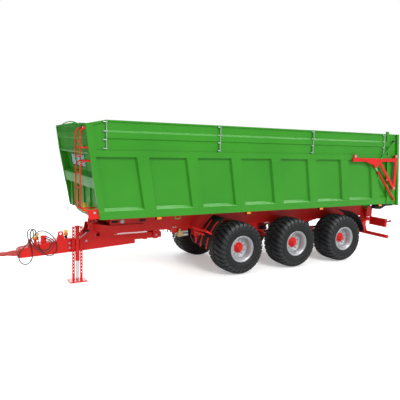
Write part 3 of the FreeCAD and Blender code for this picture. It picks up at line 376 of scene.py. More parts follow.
# %% Light
world = bpy.data.worlds.new("studio")
bpy.context.scene.world = world
world.use_nodes = True
nodes = world.node_tree.nodes
sky = nodes["Background"]
sky.inputs["Color"].default_value = (0.93, 0.96, 1.0, 1.0)
sky.inputs["Strength"].default_value = 0.70
backdrop = nodes.new("ShaderNodeBackground")
backdrop.inputs["Color"].default_value = (1.0, 1.0, 1.0, 1.0)
seen = nodes.new("ShaderNodeLightPath")
seen_or_through = nodes.new("ShaderNodeMath")
seen_or_through.operation = "MAXIMUM"
choose = nodes.new("ShaderNodeMixShader")
for source, target in (
        (seen.outputs["Is Camera Ray"], seen_or_through.inputs[0]),
        (seen.outputs["Is Transmission Ray"], seen_or_through.inputs[1]),
        (seen_or_through.outputs["Value"], choose.inputs["Fac"]),
        (sky.outputs["Background"], choose.inputs[1]),
        (backdrop.outputs["Background"], choose.inputs[2]),
        (choose.outputs["Shader"], nodes["World Output"].inputs["Surface"])):
    world.node_tree.links.new(source, target)

sun_data = bpy.data.lights.new("key", "SUN")
sun_data.energy = 2.1
sun_data.angle = math.radians(24)
sun_data.color = (1.0, 0.985, 0.96)
sun = put_in_scene("key", sun_data)
sun.rotation_euler = Vector((0.10, -1.0, -0.75)).to_track_quat("-Z", "Y").to_euler()


def area_lamp(name, length, width, energy, spot):
    """A rectangular lamp that shines down until it is turned, hidden from the camera."""
    lamp_data = bpy.data.lights.new(name, "AREA")
    lamp_data.shape = "RECTANGLE"
    lamp_data.size, lamp_data.size_y = length, width
    lamp_data.energy = energy
    lamp = put_in_scene(name, lamp_data)
    lamp.location = spot
    lamp.visible_camera = False
    return lamp


# Upward faces mirror the screen at a shallow angle, and shine.
screen = area_lamp("back_screen", 17.0, 12.0, 3200.0, place(-4.5, -19.0, 6.8))
screen.rotation_euler = Vector((0.45, 1.0, -0.22)).to_track_quat("-Z", "Y").to_euler()

# The overhead lamp shows in glossy surfaces only. It draws a line of light along each sloping
# edge of the body's sides.
strip = area_lamp("top_strip", 26.0, 11.0, 8500.0, place(-8.0, 0.4, 14.0))
strip.visible_diffuse = False


# %% Floor and card
def square_sheet(name, size, turn=Matrix.Identity(3), centre=(0, 0, 0)):
    """A square sheet with a material of its own."""
    shape = bmesh.new()
    bmesh.ops.create_grid(shape, x_segments=1, y_segments=1, size=size / 2)
    bmesh.ops.rotate(shape, verts=shape.verts, cent=(0, 0, 0), matrix=turn)
    bmesh.ops.translate(shape, verts=shape.verts, vec=centre)
    mesh = bpy.data.meshes.new(name)
    shape.to_mesh(mesh)
    shape.free()
    material, tree, shader = new_material(name)
    mesh.materials.append(material)
    return put_in_scene(name, mesh), tree, shader


FLOOR_SIZE, CARD_SIZE, FLOOR_GLOW = 90.0, 9.0, 0.34
floor, floor_tree, floor_shader = square_sheet("studio_floor", FLOOR_SIZE)
floor_shader.inputs["Base Color"].default_value = (0.86, 0.86, 0.86, 1.0)
floor_shader.inputs["Roughness"].default_value = 0.9
floor_glow = floor_tree.nodes.new("ShaderNodeEmission")
floor_glow.inputs["Color"].default_value = (1.0, 1.0, 1.0, 1.0)
floor_seen = floor_tree.nodes.new("ShaderNodeLightPath")
floor_sum = floor_tree.nodes.new("ShaderNodeAddShader")
floor_tree.links.new(multiply(floor_tree, floor_seen.outputs["Is Camera Ray"], FLOOR_GLOW),
                     floor_glow.inputs["Strength"])
floor_tree.links.new(floor_shader.outputs["BSDF"], floor_sum.inputs[0])
floor_tree.links.new(floor_glow.outputs["Emission"], floor_sum.inputs[1])
floor_tree.links.new(floor_sum.outputs["Shader"],
                     floor_tree.nodes["Material Output"].inputs["Surface"])

# The leaning front sheets mirror the dark card, and keep their green.
card, _, card_shader = square_sheet("dark_card", CARD_SIZE, Matrix.Rotation(math.pi / 2, 3, "X"),
                                    place(10.9, -12.0, 4.4))
card_shader.inputs["Base Color"].default_value = (0.03, 0.05, 0.03, 1.0)
card_shader.inputs["Roughness"].default_value = 1.0
card_shader.inputs["Specular IOR Level"].default_value = 0.0
card.visible_camera = False
card.visible_diffuse = False
card.visible_shadow = False
print("floor and light ready")

# %% [markdown]
# ## Making a piece
# Every new piece starts as a bmesh, Blender's editable mesh. This helper turns one into an
# object at the origin, gives it a finish, smooths it up to an angle, so that round parts look
# round and edges stay crisp, and ties it to the body that it moves with.


# %% Piece helpers
def make_piece(name, shape, finish, body, smooth_below=35, bevel=0.0):
    bmesh.ops.recalc_face_normals(shape, faces=shape.faces)
    mesh = bpy.data.meshes.new(name)
    shape.to_mesh(mesh)
    shape.free()
    mesh.materials.append(finish)
    mesh.shade_smooth()
    mesh.set_sharp_from_angle(angle=math.radians(smooth_below))
    piece = put_in_scene(name, mesh)
    if bevel:
        rounding = piece.modifiers.new("rounding", "BEVEL")
        rounding.width = bevel
        rounding.segments = 2
        rounding.limit_method = "ANGLE"
        rounding.angle_limit = math.radians(32)
    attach(piece, body)
    return piece


POLE_GAP = 1e-5


def spin_outline(shape, outline, steps=96, closed=True):
    """Spins an outline of (across, radius) points about the Y axis.

    An open outline starts and ends on that axis, where the doubled points are merged.
    """
    corners = [shape.verts.new((0.0, across, radius)) for across, radius in outline]
    ends = corners[1:] + corners[:1] if closed else corners[1:]
    edges = [shape.edges.new(pair) for pair in zip(corners, ends)]
    bmesh.ops.spin(shape, geom=corners + edges, cent=(0, 0, 0), axis=(0, 1, 0),
                   angle=math.tau, steps=steps, use_merge=True)
    if not closed:
        bmesh.ops.remove_doubles(shape, verts=shape.verts[:], dist=POLE_GAP)


def add_box(shape, low_corner, high_corner, turn=None, about=None):
    """A box between two corners, turned about a point when asked."""
    low_corner, high_corner = Vector(low_corner), Vector(high_corner)
    made = bmesh.ops.create_cube(shape, size=1.0)["verts"]
    bmesh.ops.scale(shape, verts=made, vec=high_corner - low_corner)
    bmesh.ops.translate(shape, verts=made, vec=(low_corner + high_corner) / 2)
    if turn is not None:
        bmesh.ops.rotate(shape, verts=made, cent=about, matrix=turn)


def add_rod(shape, start, end, radius, sides=20, end_radius=None):
    """A round bar between two points, closed at both ends."""
    start, end = Vector(start), Vector(end)
    made = bmesh.ops.create_cone(shape, cap_ends=True, segments=sides, radius1=radius,
                                 radius2=end_radius or radius,
                                 depth=(end - start).length)["verts"]
    turn = (end - start).to_track_quat("Z", "Y").to_matrix()
    bmesh.ops.rotate(shape, verts=made, cent=(0, 0, 0), matrix=turn)
    bmesh.ops.translate(shape, verts=made, vec=(start + end) / 2)


def add_bolt(shape, face_point, outward, size, height=None):
    """A hexagon head on its washer, standing on a face."""
    face_point, outward = Vector(face_point), Vector(outward).normalized()
    height = height or size * 0.62
    add_rod(shape, face_point - outward * 0.002, face_point + outward * size * 0.16,
            size * 1.15, sides=16)
    add_rod(shape, face_point, face_point + outward * height, size, sides=6,
            end_radius=size * 0.92)


def each_once(parts):
    """The parts in their own order, without repeats."""
    return list(dict.fromkeys(parts))


def repeat_round(shape, verts, count):
    """Copies finished parts round the Y axis, so that there are that many in all."""
    geometry = list(verts) + each_once(e for v in verts for e in v.link_edges)
    geometry += each_once(f for v in verts for f in v.link_faces)
    bmesh.ops.spin(shape, geom=geometry, cent=(0, 0, 0), axis=(0, 1, 0),
                   angle=math.tau * (count - 1) / count, steps=count - 1, use_duplicate=True)


def add_prism(shape, outline, thickness):
    """A plate from a flat closed outline of points, pushed out along a vector."""
    count_before = len(shape.verts)
    sheet = shape.faces.new([shape.verts.new(point) for point in outline])
    pushed = bmesh.ops.extrude_face_region(shape, geom=[sheet])["geom"]
    moved = [part for part in pushed if isinstance(part, bmesh.types.BMVert)]
    bmesh.ops.translate(shape, verts=moved, vec=thickness)
    made = list(shape.verts)[count_before:]
    rims = each_once(e for corner in made for e in corner.link_edges if e.is_boundary)
    if rims:
        bmesh.ops.holes_fill(shape, edges=rims)


# %% [markdown]
# ## The hoses
# Two hydraulic hoses and the thinner brake line leave glands on top of the drawbar, loop in
# the air behind the coupling eye, and end in couplings parked on a small rest. Each is one
# smooth curve through a few guide points, the same points as in the drawing.

# %% Hoses
HOSES = {
    "brake_line": (0.018, 2.751, "hose_brake_line", [
        (5.838, .128, .985), (5.842, .152, .930), (5.834, .174, .840), (5.808, .188, .745),
        (5.748, .196, .650), (5.660, .198, .582), (5.560, .194, .590), (5.485, .186, .660),
        (5.462, .178, .760), (5.484, .170, .870), (5.545, .164, .972), (5.640, .162, 1.060),
        (5.755, .166, 1.112), (5.862, .196, 1.095), (5.942, .248, 1.025), (6.018, .292, .940),
        (6.100, .290, .850), (6.176, .250, .760), (6.222, .194, .655), (6.208, .180, .545),
        (6.150, .180, .458), (6.055, .186, .445), (5.980, .192, .515), (5.952, .188, .620),
        (5.958, .172, .725), (5.975, .150, .815), (5.985, .112, .880)]),
    "tipping_hose": (0.022, 1.203, "hose_tipping", [
        (5.860, .045, .985), (5.864, .058, 1.062), (5.894, .090, 1.130), (5.956, .140, 1.136),
        (6.000, .188, 1.070), (5.994, .214, .968), (5.944, .228, .862), (5.870, .238, .776),
        (5.780, .242, .722), (5.680, .238, .722), (5.602, .222, .782), (5.580, .178, .858),
        (5.614, .124, .912), (5.686, .080, .930)]),
    "tailgate_hose": (0.018, 1.421, "hose_tailgate", [
        (5.900, .020, .985), (5.908, .034, 1.070), (5.942, .074, 1.144), (6.008, .132, 1.150),
        (6.054, .190, 1.080), (6.046, .238, .975), (5.998, .262, .870), (5.918, .274, .778),
        (5.820, .278, .706), (5.714, .274, .678), (5.612, .262, .710), (5.542, .234, .787),
        (5.530, .184, .868), (5.566, .124, .925), (5.640, .070, .950)]),
}
for name, (diameter, length, solid, route) in HOSES.items():
    curve = bpy.data.curves.new(name, "CURVE")
    curve.dimensions = "3D"
    curve.bevel_depth = diameter / 2
    curve.bevel_resolution = 5
    curve.use_fill_caps = True
    spline = curve.splines.new("NURBS")
    spline.points.add(len(route) - 1)
    for point, (x, y, z) in zip(spline.points, route):
        point.co = (*place(x, y, z), 1.0)
    spline.order_u = 3
    spline.use_endpoint_u = True
    spline.resolution_u = 12
    curve.materials.append(hose_rubber)
    hose_piece = put_in_scene(name, curve)
    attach(hose_piece, "chassis")
    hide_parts(solid)
    print(name, len(route), "guide points")

# %% [markdown]

# %% [markdown]
# ## Tyres
# These are wide flotation tyres for fields: a round-shouldered casing with curved bars that
# fade in at the shoulder and sweep towards the middle from each side in turn, with narrow
# grooves between them. The casing is an outline spun about the axle. One bar is a cube cut
# into steps and bent round the tyre, and a spin with duplicates sets the rest. The points on
# top of a bar carry the number 1 under the name bar_top, which the rubber reads to paint
# those tops paler, a painted highlight.

# %% Tyre casing and bars
CASING = [(0.257, 0.289), (0.278, 0.297), (0.285, 0.312), (0.292, 0.340), (0.300, 0.368),
          (0.3025, 0.371), (0.3040, 0.380), (0.3030, 0.389), (0.3055, 0.410), (0.3085, 0.438),
          (0.3095, 0.441), (0.3095, 0.452), (0.3080, 0.456), (0.3055, 0.478), (0.299, 0.500),
          (0.290, 0.525), (0.273, 0.545), (0.246, 0.559), (0.200, 0.569), (0.140, 0.574),
          (0.070, 0.576)]
BAR_TOP = [(0.3090, 0.468), (0.3125, 0.490), (0.3095, 0.516), (0.3000, 0.543), (0.282, 0.565),
           (0.252, 0.581), (0.206, 0.592), (0.150, 0.5965), (0.100, 0.5985), (0.055, 0.5993),
           (0.012, 0.5995)]
BAR_DEPTH = 0.036
BAR_COUNT = 30
BAR_HALF_WIDTH, BAR_TAPER, BAR_SWEEP = 0.0495, 0.021, 0.24


def bar_angle(along, side_of_bar):
    """How far a bar's edge is turned about the axle, from its outer end to its inner one."""
    half_width = BAR_HALF_WIDTH - BAR_TAPER * (1 - along) ** 2
    return BAR_SWEEP * along ** 0.85 + side_of_bar * half_width / TYRE_RADIUS


def add_bar(shape, mirrored):
    numbers = shape.verts.layers.float
    bar_top = numbers.get("bar_top") or numbers.new("bar_top")
    count_before = len(shape.verts)
    made = bmesh.ops.create_cube(shape, size=1.0)["verts"]
    edges = each_once(e for v in made for e in v.link_edges)
    long_edges = [e for e in edges if abs(e.verts[0].co.y - e.verts[1].co.y) > 0.5]
    bmesh.ops.subdivide_edges(shape, edges=long_edges, cuts=len(BAR_TOP) - 2)
    grown = list(shape.verts)[count_before:]
    for corner in grown:
        along = 0.5 - corner.co.y
        across, radius = BAR_TOP[round(along * (len(BAR_TOP) - 1))]
        angle = bar_angle(along, corner.co.x * 2)
        corner[bar_top] = float(corner.co.z > 0)
        if corner.co.z < 0:
            across, radius = across - BAR_DEPTH * 0.4 * (1 - along), radius - BAR_DEPTH
        corner.co = (radius * math.sin(angle), mirrored * across, radius * math.cos(angle))
    return grown


def tyre_shape():
    """A casing and its bars, about the Y axis."""
    shape = bmesh.new()
    for mirrored in (1, -1):
        bar = add_bar(shape, mirrored)
        if mirrored < 0:
            bmesh.ops.rotate(shape, verts=bar, cent=(0, 0, 0),
                             matrix=Matrix.Rotation(math.pi / BAR_COUNT, 3, "Y"))
        repeat_round(shape, bar, BAR_COUNT)
    # Above the axle, each bar now runs towards the rear on its way to the middle.
    bmesh.ops.scale(shape, verts=shape.verts, vec=(-1, 1, 1))
    outline = CASING + [(-across, radius) for across, radius in reversed(CASING)]
    spin_outline(shape, outline, steps=120)
    return shape


# %% Six tyres
for wheel, _, centre in WHEELS:
    shape = tyre_shape()
    bmesh.ops.translate(shape, verts=shape.verts, vec=centre)
    tyre = make_piece("tyre_with_bars_" + wheel, shape, tyre_rubber, "wheel_" + wheel,
                      smooth_below=30)
    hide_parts("tyre_" + wheel)
print("tyre faces", len(tyre.data.polygons))

# %% [markdown]
# ## Rims, hubs and wheel nuts
# The disc is welded inside the rim, so from the side one sees a bright flange, a stepped well
# that slopes inwards, then the pressed disc with its ring of nuts and the red hub. Rim, disc
# and hub are outlines spun about the axle. Rim and hub are separate pieces, as they are
# painted apart.

# %% Rim, disc, hub and nuts
RIM = [(0.266, 0.302), (0.2785, 0.308), (0.284, 0.303), (0.281, 0.292), (0.266, 0.287),
       (0.262, 0.281), (0.268, 0.274), (0.264, 0.266), (0.250, 0.260), (0.226, 0.257),
       (0.218, 0.250), (0.176, 0.248), (0.168, 0.242), (0.142, 0.242), (0.132, 0.248),
       (0.112, 0.256), (-0.150, 0.268), (-0.258, 0.276),
       (-0.272, 0.284), (-0.280, 0.300), (-0.270, 0.306), (-0.255, 0.290), (0.255, 0.290)]
DISC = [(0.130, 0.256), (0.127, 0.246), (0.118, 0.240), (0.108, 0.234), (0.104, 0.224),
        (0.113, 0.214), (0.124, 0.204), (0.123, 0.190), (0.117, 0.182), (0.116, 0.120),
        (0.102, 0.120), (0.098, 0.200), (0.094, 0.240), (0.110, 0.262)]
HUB = [(-0.086, 0.0), (-0.086, 0.112), (0.102, 0.114), (0.108, 0.126), (0.118, 0.130),
       (0.122, 0.126), (0.124, 0.112), (0.132, 0.104), (0.160, 0.084), (0.166, 0.080),
       (0.172, 0.066), (0.176, 0.058), (0.206, 0.054), (0.2125, 0.048), (0.2135, 0.0)]
DISC_FACE, NUT_COUNT, NUT_CIRCLE = 0.116, 10, 0.1675
HUB_FACE, SCREW_COUNT, SCREW_CIRCLE = 0.122, 8, 0.118

for wheel, side, centre in WHEELS:
    rim, hub, nuts = bmesh.new(), bmesh.new(), bmesh.new()
    spin_outline(rim, RIM)
    spin_outline(rim, DISC)
    spin_outline(hub, HUB, steps=48, closed=False)
    first = Vector((0, DISC_FACE, NUT_CIRCLE))
    add_bolt(nuts, first, (0, 1, 0), 0.017, height=0.024)
    add_rod(nuts, first, first + Vector((0, 0.038, 0)), 0.010, sides=12)
    repeat_round(nuts, nuts.verts[:], NUT_COUNT)
    count_before = len(nuts.verts)
    add_bolt(nuts, (0, HUB_FACE, SCREW_CIRCLE), (0, 1, 0), 0.007)
    repeat_round(nuts, list(nuts.verts)[count_before:], SCREW_COUNT)
    for shape, name, finish, slot in (
            (rim, "rim_", silver_lacquer, "silver_paint"),
            (hub, "hub_", red_enamel, "red_paint"),
            (nuts, "wheel_nuts_", galvanised, "silver_paint")):
        bmesh.ops.scale(shape, verts=shape.verts, vec=(1, side, 1))
        bmesh.ops.translate(shape, verts=shape.verts, vec=centre)
        make_piece(name + wheel, shape, finish, "wheel_" + wheel)
    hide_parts("wheel_" + wheel)
print("wheels dressed")

# %% [markdown]
# ## Small things on the chassis
# The rails carry slots for ropes and pipes, drawn as thin black plates on the web: painted
# shade for the dark inside of each slot. They also carry a round plate over the pivot bolt,
# nuts on the ends of the spring pins, and a brake valve with its air fittings. Two rows of short
# red plates lie across the front of each front mudguard, and a bar and a hanger carry it. Each
# group that shares a finish is one piece.

# %% Rails: slots, plate, spring pins
RAIL_FACE = 0.5
RAIL_SLOTS = [(4.28, 4.42, 1.238, 1.288), (3.66, 3.80, 1.238, 1.288)]
PLATE_X, PLATE_HEIGHT = 4.19, 1.262
SPRING_EYE, SPRING_EYE_HEIGHT, SPRING_PIN_END = 0.715, 0.862, 0.510
SPRING_Y, CLAMP_TOP = 0.45, 0.834
slots, nuts = bmesh.new(), bmesh.new()
for side in SIDES.values():
    face = side * RAIL_FACE
    for x0, x1, z0, z1 in RAIL_SLOTS:
        add_box(slots, place(x0, face - 0.002, z0), place(x1, face + side * 0.003, z1))
    add_rod(nuts, place(PLATE_X, face - side * 0.002, PLATE_HEIGHT),
            place(PLATE_X, face + side * 0.012, PLATE_HEIGHT), 0.042, sides=32)
    add_bolt(nuts, place(PLATE_X, face + side * 0.012, PLATE_HEIGHT), (0, side, 0), 0.018)
    for axle_x in AXLES.values():
        for end in (-1, 1):
            add_bolt(nuts, place(axle_x + end * SPRING_EYE, side * SPRING_PIN_END,
                                 SPRING_EYE_HEIGHT), (0, side, 0), 0.022)
        for dx, dy in ((-0.055, 0.03), (0.055, 0.03), (-0.055, -0.03), (0.055, -0.03)):
            add_bolt(nuts, place(axle_x + dx, side * (SPRING_Y + dy), CLAMP_TOP), (0, 0, 1),
                     0.013)
# The slots are thin black plates on the rail face: painted shade for the inside of each slot.
make_piece("rail_slots", slots, black_plastic, "chassis", bevel=0.0015)
make_piece("rail_nuts", nuts, galvanised, "chassis")
print("rail fittings made")

# %% Straps and hangers of the front mudguards
GUARD_RADIUS, STRAP_HALF = 0.880, 0.020
STRAP_ANGLES = [44.5, 39.0, 33.5, 28.5, 17.0, 11.5, 6.5]
STRAP_ROWS = (0.870, 1.125)
HANGER_X, HANGER_HEIGHT = 2.480, 0.950
straps = bmesh.new()
for side in SIDES.values():
    hub = place(AXLES["front"], 0.0, TYRE_RADIUS)
    for y in STRAP_ROWS:
        for angle in STRAP_ANGLES:
            turned = Matrix.Rotation(-math.radians(angle), 3, "Y")
            add_box(straps, hub + Vector((GUARD_RADIUS - 0.004, side * y - STRAP_HALF, -0.045)),
                    hub + Vector((GUARD_RADIUS + 0.008, side * y + STRAP_HALF, 0.045)),
                    turn=turned, about=hub)
    add_rod(straps, place(HANGER_X, side * 0.64, HANGER_HEIGHT),
            place(HANGER_X, side * 1.00, HANGER_HEIGHT), 0.024)
    add_rod(straps, place(HANGER_X, side * 0.66, HANGER_HEIGHT + 0.005),
            place(HANGER_X, side * 0.66, 0.700), 0.022)
make_piece("mudguard_straps", straps, red_enamel, "chassis", bevel=0.002)
print("mudguard straps made")

# %% Brake valve on the left rail
valve_body, valve_metal, valve_plate = bmesh.new(), bmesh.new(), bmesh.new()
add_box(valve_plate, place(2.62, 0.499, 0.93), place(3.02, 0.511, 1.10))
add_box(valve_body, place(2.785, 0.505, 0.855), place(2.905, 0.60, 0.985))
add_rod(valve_body, place(2.845, 0.555, 0.985), place(2.845, 0.555, 1.035), 0.034, sides=24)
for z, radius in ((0.885, 0.030), (0.955, 0.026)):
    add_rod(valve_metal, place(2.65, 0.555, z), place(2.787, 0.555, z), radius, sides=24)
    add_rod(valve_metal, place(2.635, 0.555, z), place(2.652, 0.555, z), radius * 0.55, sides=6)
add_rod(valve_metal, place(2.903, 0.545, 0.93), place(2.955, 0.545, 0.93), 0.014)
add_rod(valve_metal, place(2.95, 0.545, 0.935), place(2.965, 0.545, 0.83), 0.013)
add_rod(valve_metal, place(2.962, 0.545, 0.835), place(3.03, 0.545, 0.81), 0.013)
for x in (2.93, 2.99):
    add_bolt(valve_metal, place(x, 0.511, 1.06), (0, 1, 0), 0.015)
make_piece("brake_valve_plate", valve_plate, red_enamel, "chassis", bevel=0.002)
make_piece("brake_valve", valve_body, brass, "chassis", bevel=0.006)
make_piece("brake_valve_ports", valve_metal, galvanised, "chassis")
print("brake valve made")

# %% [markdown]
# ## Drawbar fittings
# The top of the drawbar falls towards the hitch at a steady slope, so anything that lies on it
# is turned by that slope. Bolts hold the coupling's flange and the jack, a plate stiffens each
# side where the drawbar meets the neck, a yellow release valve stands between the jack and
# the hoses, and rubber grommets line the two slots.

# %% Drawbar bolts, grommets and release valve
DRAWBAR_SLOPE, DRAWBAR_END, DRAWBAR_END_TOP = 0.175, 6.190, 0.750


def span_y(side, near, far):
    """The two Y values of something that reaches from near to far on one side."""
    return sorted((side * near, side * far))


def drawbar_top(x):
    return DRAWBAR_END_TOP + (DRAWBAR_END - x) * DRAWBAR_SLOPE


bolts, grommets = bmesh.new(), bmesh.new()
for y in (-0.068, 0.068):
    for z in (0.600, 0.720):
        add_bolt(bolts, place(6.220, y, z), (1, 0, 0), 0.016)
for side in SIDES.values():
    for x, z in ((5.205, 0.80), (5.200, 0.70)):
        add_bolt(bolts, place(x, side * 0.13, z), (0, side, 0), 0.018)
    for x, y, z in ((3.25, 0.17, 0.845), (3.25, 0.17, 0.965), (4.87, 0.184, 0.835)):
        add_bolt(bolts, place(x, side * y, z), (0, side, 0), 0.020)
for x, z in ((4.10, 0.665), (3.93, 0.675), (3.80, 0.682), (5.85, 0.583)):
    add_bolt(bolts, place(x, 0.09, z), (0, 0, -1), 0.018)
fall = Matrix.Rotation(math.atan(DRAWBAR_SLOPE), 3, "Y")
for x, half_length in ((5.640, 0.040), (5.395, 0.034)):
    middle = place(x, 0.060, drawbar_top(x))
    add_box(grommets, middle - Vector((half_length, 0.022, 0.004)),
            middle + Vector((half_length, 0.022, 0.007)), turn=fall, about=middle)
plates = bmesh.new()
for side in SIDES.values():
    y0, y1 = span_y(side, 0.1465, 0.158)
    outline = [(4.590, 1.022), (4.120, 1.022), (4.180, 0.925), (4.560, 0.885)]
    add_prism(plates, [place(x, y0, z) for x, z in outline], (0, y1 - y0, 0))
make_piece("neck_side_plates", plates, red_enamel, "chassis", bevel=0.003)
make_piece("drawbar_bolts", bolts, galvanised, "chassis")
make_piece("drawbar_grommets", grommets, hose_rubber, "chassis", bevel=0.003)

base, cap, knob = bmesh.new(), bmesh.new(), bmesh.new()
add_rod(base, place(5.262, 0.06, 0.893), place(5.262, 0.06, 0.965), 0.026, sides=24)
add_rod(base, place(5.24, 0.06, 0.94), place(5.345, 0.085, 0.925), 0.010)
add_box(knob, place(5.222, 0.022, 0.963), place(5.302, 0.098, 1.010))
add_box(cap, place(5.228, 0.028, 1.010), place(5.296, 0.092, 1.075))
make_piece("release_valve_base", base, black_plastic, "chassis")
make_piece("release_valve_body", knob, orange_plastic, "chassis", bevel=0.010)
make_piece("release_valve_cap", cap, yellow_plastic, "chassis", bevel=0.014)
print("drawbar fittings made")

# %% [markdown]
# ## The jack's bright parts
# Only the piston is chromed. It is a sleeve over the solid's own piston and slides with it.
# The crank leans back from the barrel and ends in a black grip.

# %% Jack: piston sleeve and crank
JACK_X, JACK_Y, GRIP_Y, GRIP_HEIGHT = 5.070, 0.235, 0.285, 1.066
sleeve = bmesh.new()
add_rod(sleeve, place(JACK_X, JACK_Y, 0.0215), place(JACK_X, JACK_Y, 0.767), 0.0275, sides=40)
make_piece("jack_piston", sleeve, chrome, "jack")
crank, grip = bmesh.new(), bmesh.new()
add_rod(crank, place(JACK_X - 0.038, JACK_Y, 0.905), place(4.900, GRIP_Y, 1.030), 0.009)
add_rod(crank, place(4.905, GRIP_Y, 1.022), place(4.905, GRIP_Y, GRIP_HEIGHT), 0.009)
add_rod(grip, place(4.835, GRIP_Y, GRIP_HEIGHT), place(4.940, GRIP_Y, GRIP_HEIGHT), 0.020)
for z in (0.715, 0.895):
    for dx in (-0.045, 0.045):
        add_bolt(crank, place(JACK_X + dx, 0.175, z + 0.015), (0, 0, 1), 0.010)
make_piece("jack_crank", crank, galvanised, "chassis")
make_piece("jack_grip", grip, black_plastic, "chassis", bevel=0.006)
print("jack dressed")

# %% [markdown]
# ## Lamps
# Four amber lamps hang under the bottom edge of each side. At the rear, each lamp box gets an
# amber and a white field beside its red one, and a marker lamp on a bent rubber arm.

# %% Side and rear lamps
SIDE_LAMPS = (3.65, 1.43, -0.78, -2.94)
LENS_HALF, EDGE_HEIGHT = 0.052, 1.4432
housings, lenses, amber_fields, white_fields, arms, markers = (bmesh.new() for _ in range(6))
for side in SIDES.values():
    for x in SIDE_LAMPS:
        y0, y1 = span_y(side, 1.150, 1.196)
        add_box(housings, place(x - LENS_HALF - 0.012, y0, 1.380),
                place(x + LENS_HALF + 0.012, y1, EDGE_HEIGHT))
        y0, y1 = span_y(side, 1.190, 1.212)
        add_box(lenses, place(x - LENS_HALF, y0, 1.390), place(x + LENS_HALF, y1, 1.437))
    for shape, inner, outer in ((amber_fields, 0.960, 1.085), (white_fields, 0.590, 0.690)):
        y0, y1 = span_y(side, inner, outer)
        add_box(shape, place(-3.3725, y0, 0.795), place(-3.3665, y1, 0.960))
    add_rod(arms, place(-3.350, side * 1.105, 0.905), place(-3.352, side * 1.170, 0.932), 0.016)
    add_rod(arms, place(-3.352, side * 1.165, 0.930), place(-3.362, side * 1.215, 0.951), 0.016,
            end_radius=0.022)
    add_rod(markers, place(-3.345, side * 1.228, 0.955), place(-3.390, side * 1.232, 0.953),
            0.030, sides=28)
for name, shape, finish, body, slot, rounding in (
        ("side_lamp_housings", housings, black_plastic, "tipping_body", "black_plastic", 0.003),
        ("side_lamp_lenses", lenses, amber_lens, "tipping_body", "lamp_lens", 0.005),
        ("rear_amber_fields", amber_fields, amber_lens, "chassis", "lamp_lens", 0.002),
        ("rear_white_fields", white_fields, white_plastic, "chassis", "lamp_lens", 0.002),
        ("marker_arms", arms, hose_rubber, "chassis", "black_rubber", 0.0),
        ("marker_lamps", markers, red_lens, "chassis", "lamp_lens", 0.004)):
    make_piece(name, shape, finish, body, bevel=rounding)
print("lamps made")

# %% [markdown]
# ## The front of the body
# The front edge leans forward by a fixed amount per metre of height, and so do all the
# fittings on it. The window gets a rubber seal and two upright bars, the ladders get bolted
# lugs, and a yellow wheel chock stands in a holder low on the wall.


# %% Places on the front wall
FRONT_FOOT, FOOT_HEIGHT, FRONT_LEAN, WINDOW_SETBACK = 4.880, 1.443, 0.175, 0.155


def edge_x(z):
    """The side walls' front edge at a height."""
    return FRONT_FOOT + FRONT_LEAN * (z - FOOT_HEIGHT)


def window_x(z):
    """The window panel's face at a height; it is set back behind the edge."""
    return edge_x(z) - WINDOW_SETBACK


def window_strip(shape, y0, y1, z0, z1, back=-0.008, front=0.004):
    outline = [place(window_x(z) + reach, y0, z) for z, reach in
               ((z0, back), (z0, front), (z1, front), (z1, back))]
    add_prism(shape, outline, (0, y1 - y0, 0))


# %% Window seal and bars
WINDOW_LOW, WINDOW_HIGH, WINDOW_RIGHT, WINDOW_LEFT, SEAL = 2.385, 2.650, -0.850, 0.260, 0.014
WINDOW_BARS, WINDOW_BAR_WIDTH, WINDOW_BAR_REACH = (-0.46, -0.08), 0.035, 0.03
seal, bars = bmesh.new(), bmesh.new()
for z0, z1 in ((WINDOW_LOW, WINDOW_LOW + SEAL), (WINDOW_HIGH - SEAL, WINDOW_HIGH)):
    window_strip(seal, WINDOW_RIGHT, WINDOW_LEFT, z0, z1)
for y0 in (WINDOW_RIGHT, WINDOW_LEFT - SEAL):
    window_strip(seal, y0, y0 + SEAL, WINDOW_LOW, WINDOW_HIGH)
for y0 in WINDOW_BARS:
    window_strip(bars, y0, y0 + WINDOW_BAR_WIDTH, WINDOW_LOW - WINDOW_BAR_REACH,
                 WINDOW_HIGH + WINDOW_BAR_REACH, 0.0, 0.016)
make_piece("window_seal", seal, hose_rubber, "tipping_body", bevel=0.002)
make_piece("window_bars", bars, green_enamel, "tipping_body", bevel=0.003)
print("window dressed")

# %% Ladder lugs, gusset bolt, chock
# Each foot has its Y, its height, and how far its lug's face stands ahead of the front edge.
LADDER_FEET = [(0.85, 1.635, -0.045), (1.17, 1.635, 0.016), (0.85, 2.565, -0.1385),
               (1.17, 2.565, 0.016), (0.85, 2.815, -0.026), (1.17, 2.815, 0.014),
               (0.85, 3.180, -0.030), (1.17, 3.180, -0.001)]
lugs, lug_bolts = bmesh.new(), bmesh.new()
for y, z, ahead_of_edge in LADDER_FEET:
    face_x = edge_x(z) + ahead_of_edge
    add_box(lugs, place(face_x - 0.012, y - 0.068, z - 0.020), place(face_x, y - 0.018, z + 0.020))
    add_bolt(lug_bolts, place(face_x, y - 0.046, z), (1, 0, 0), 0.014, height=0.022)
add_bolt(lug_bolts, place(4.985, 1.176, 1.585), (0, 1, 0), 0.022)
add_rod(lug_bolts, place(4.93, -1.185, 1.275), place(4.93, -1.185, 1.4435), 0.010)
make_piece("ladder_lugs", lugs, red_enamel, "tipping_body", bevel=0.003)
make_piece("ladder_bolts", lug_bolts, galvanised, "tipping_body")

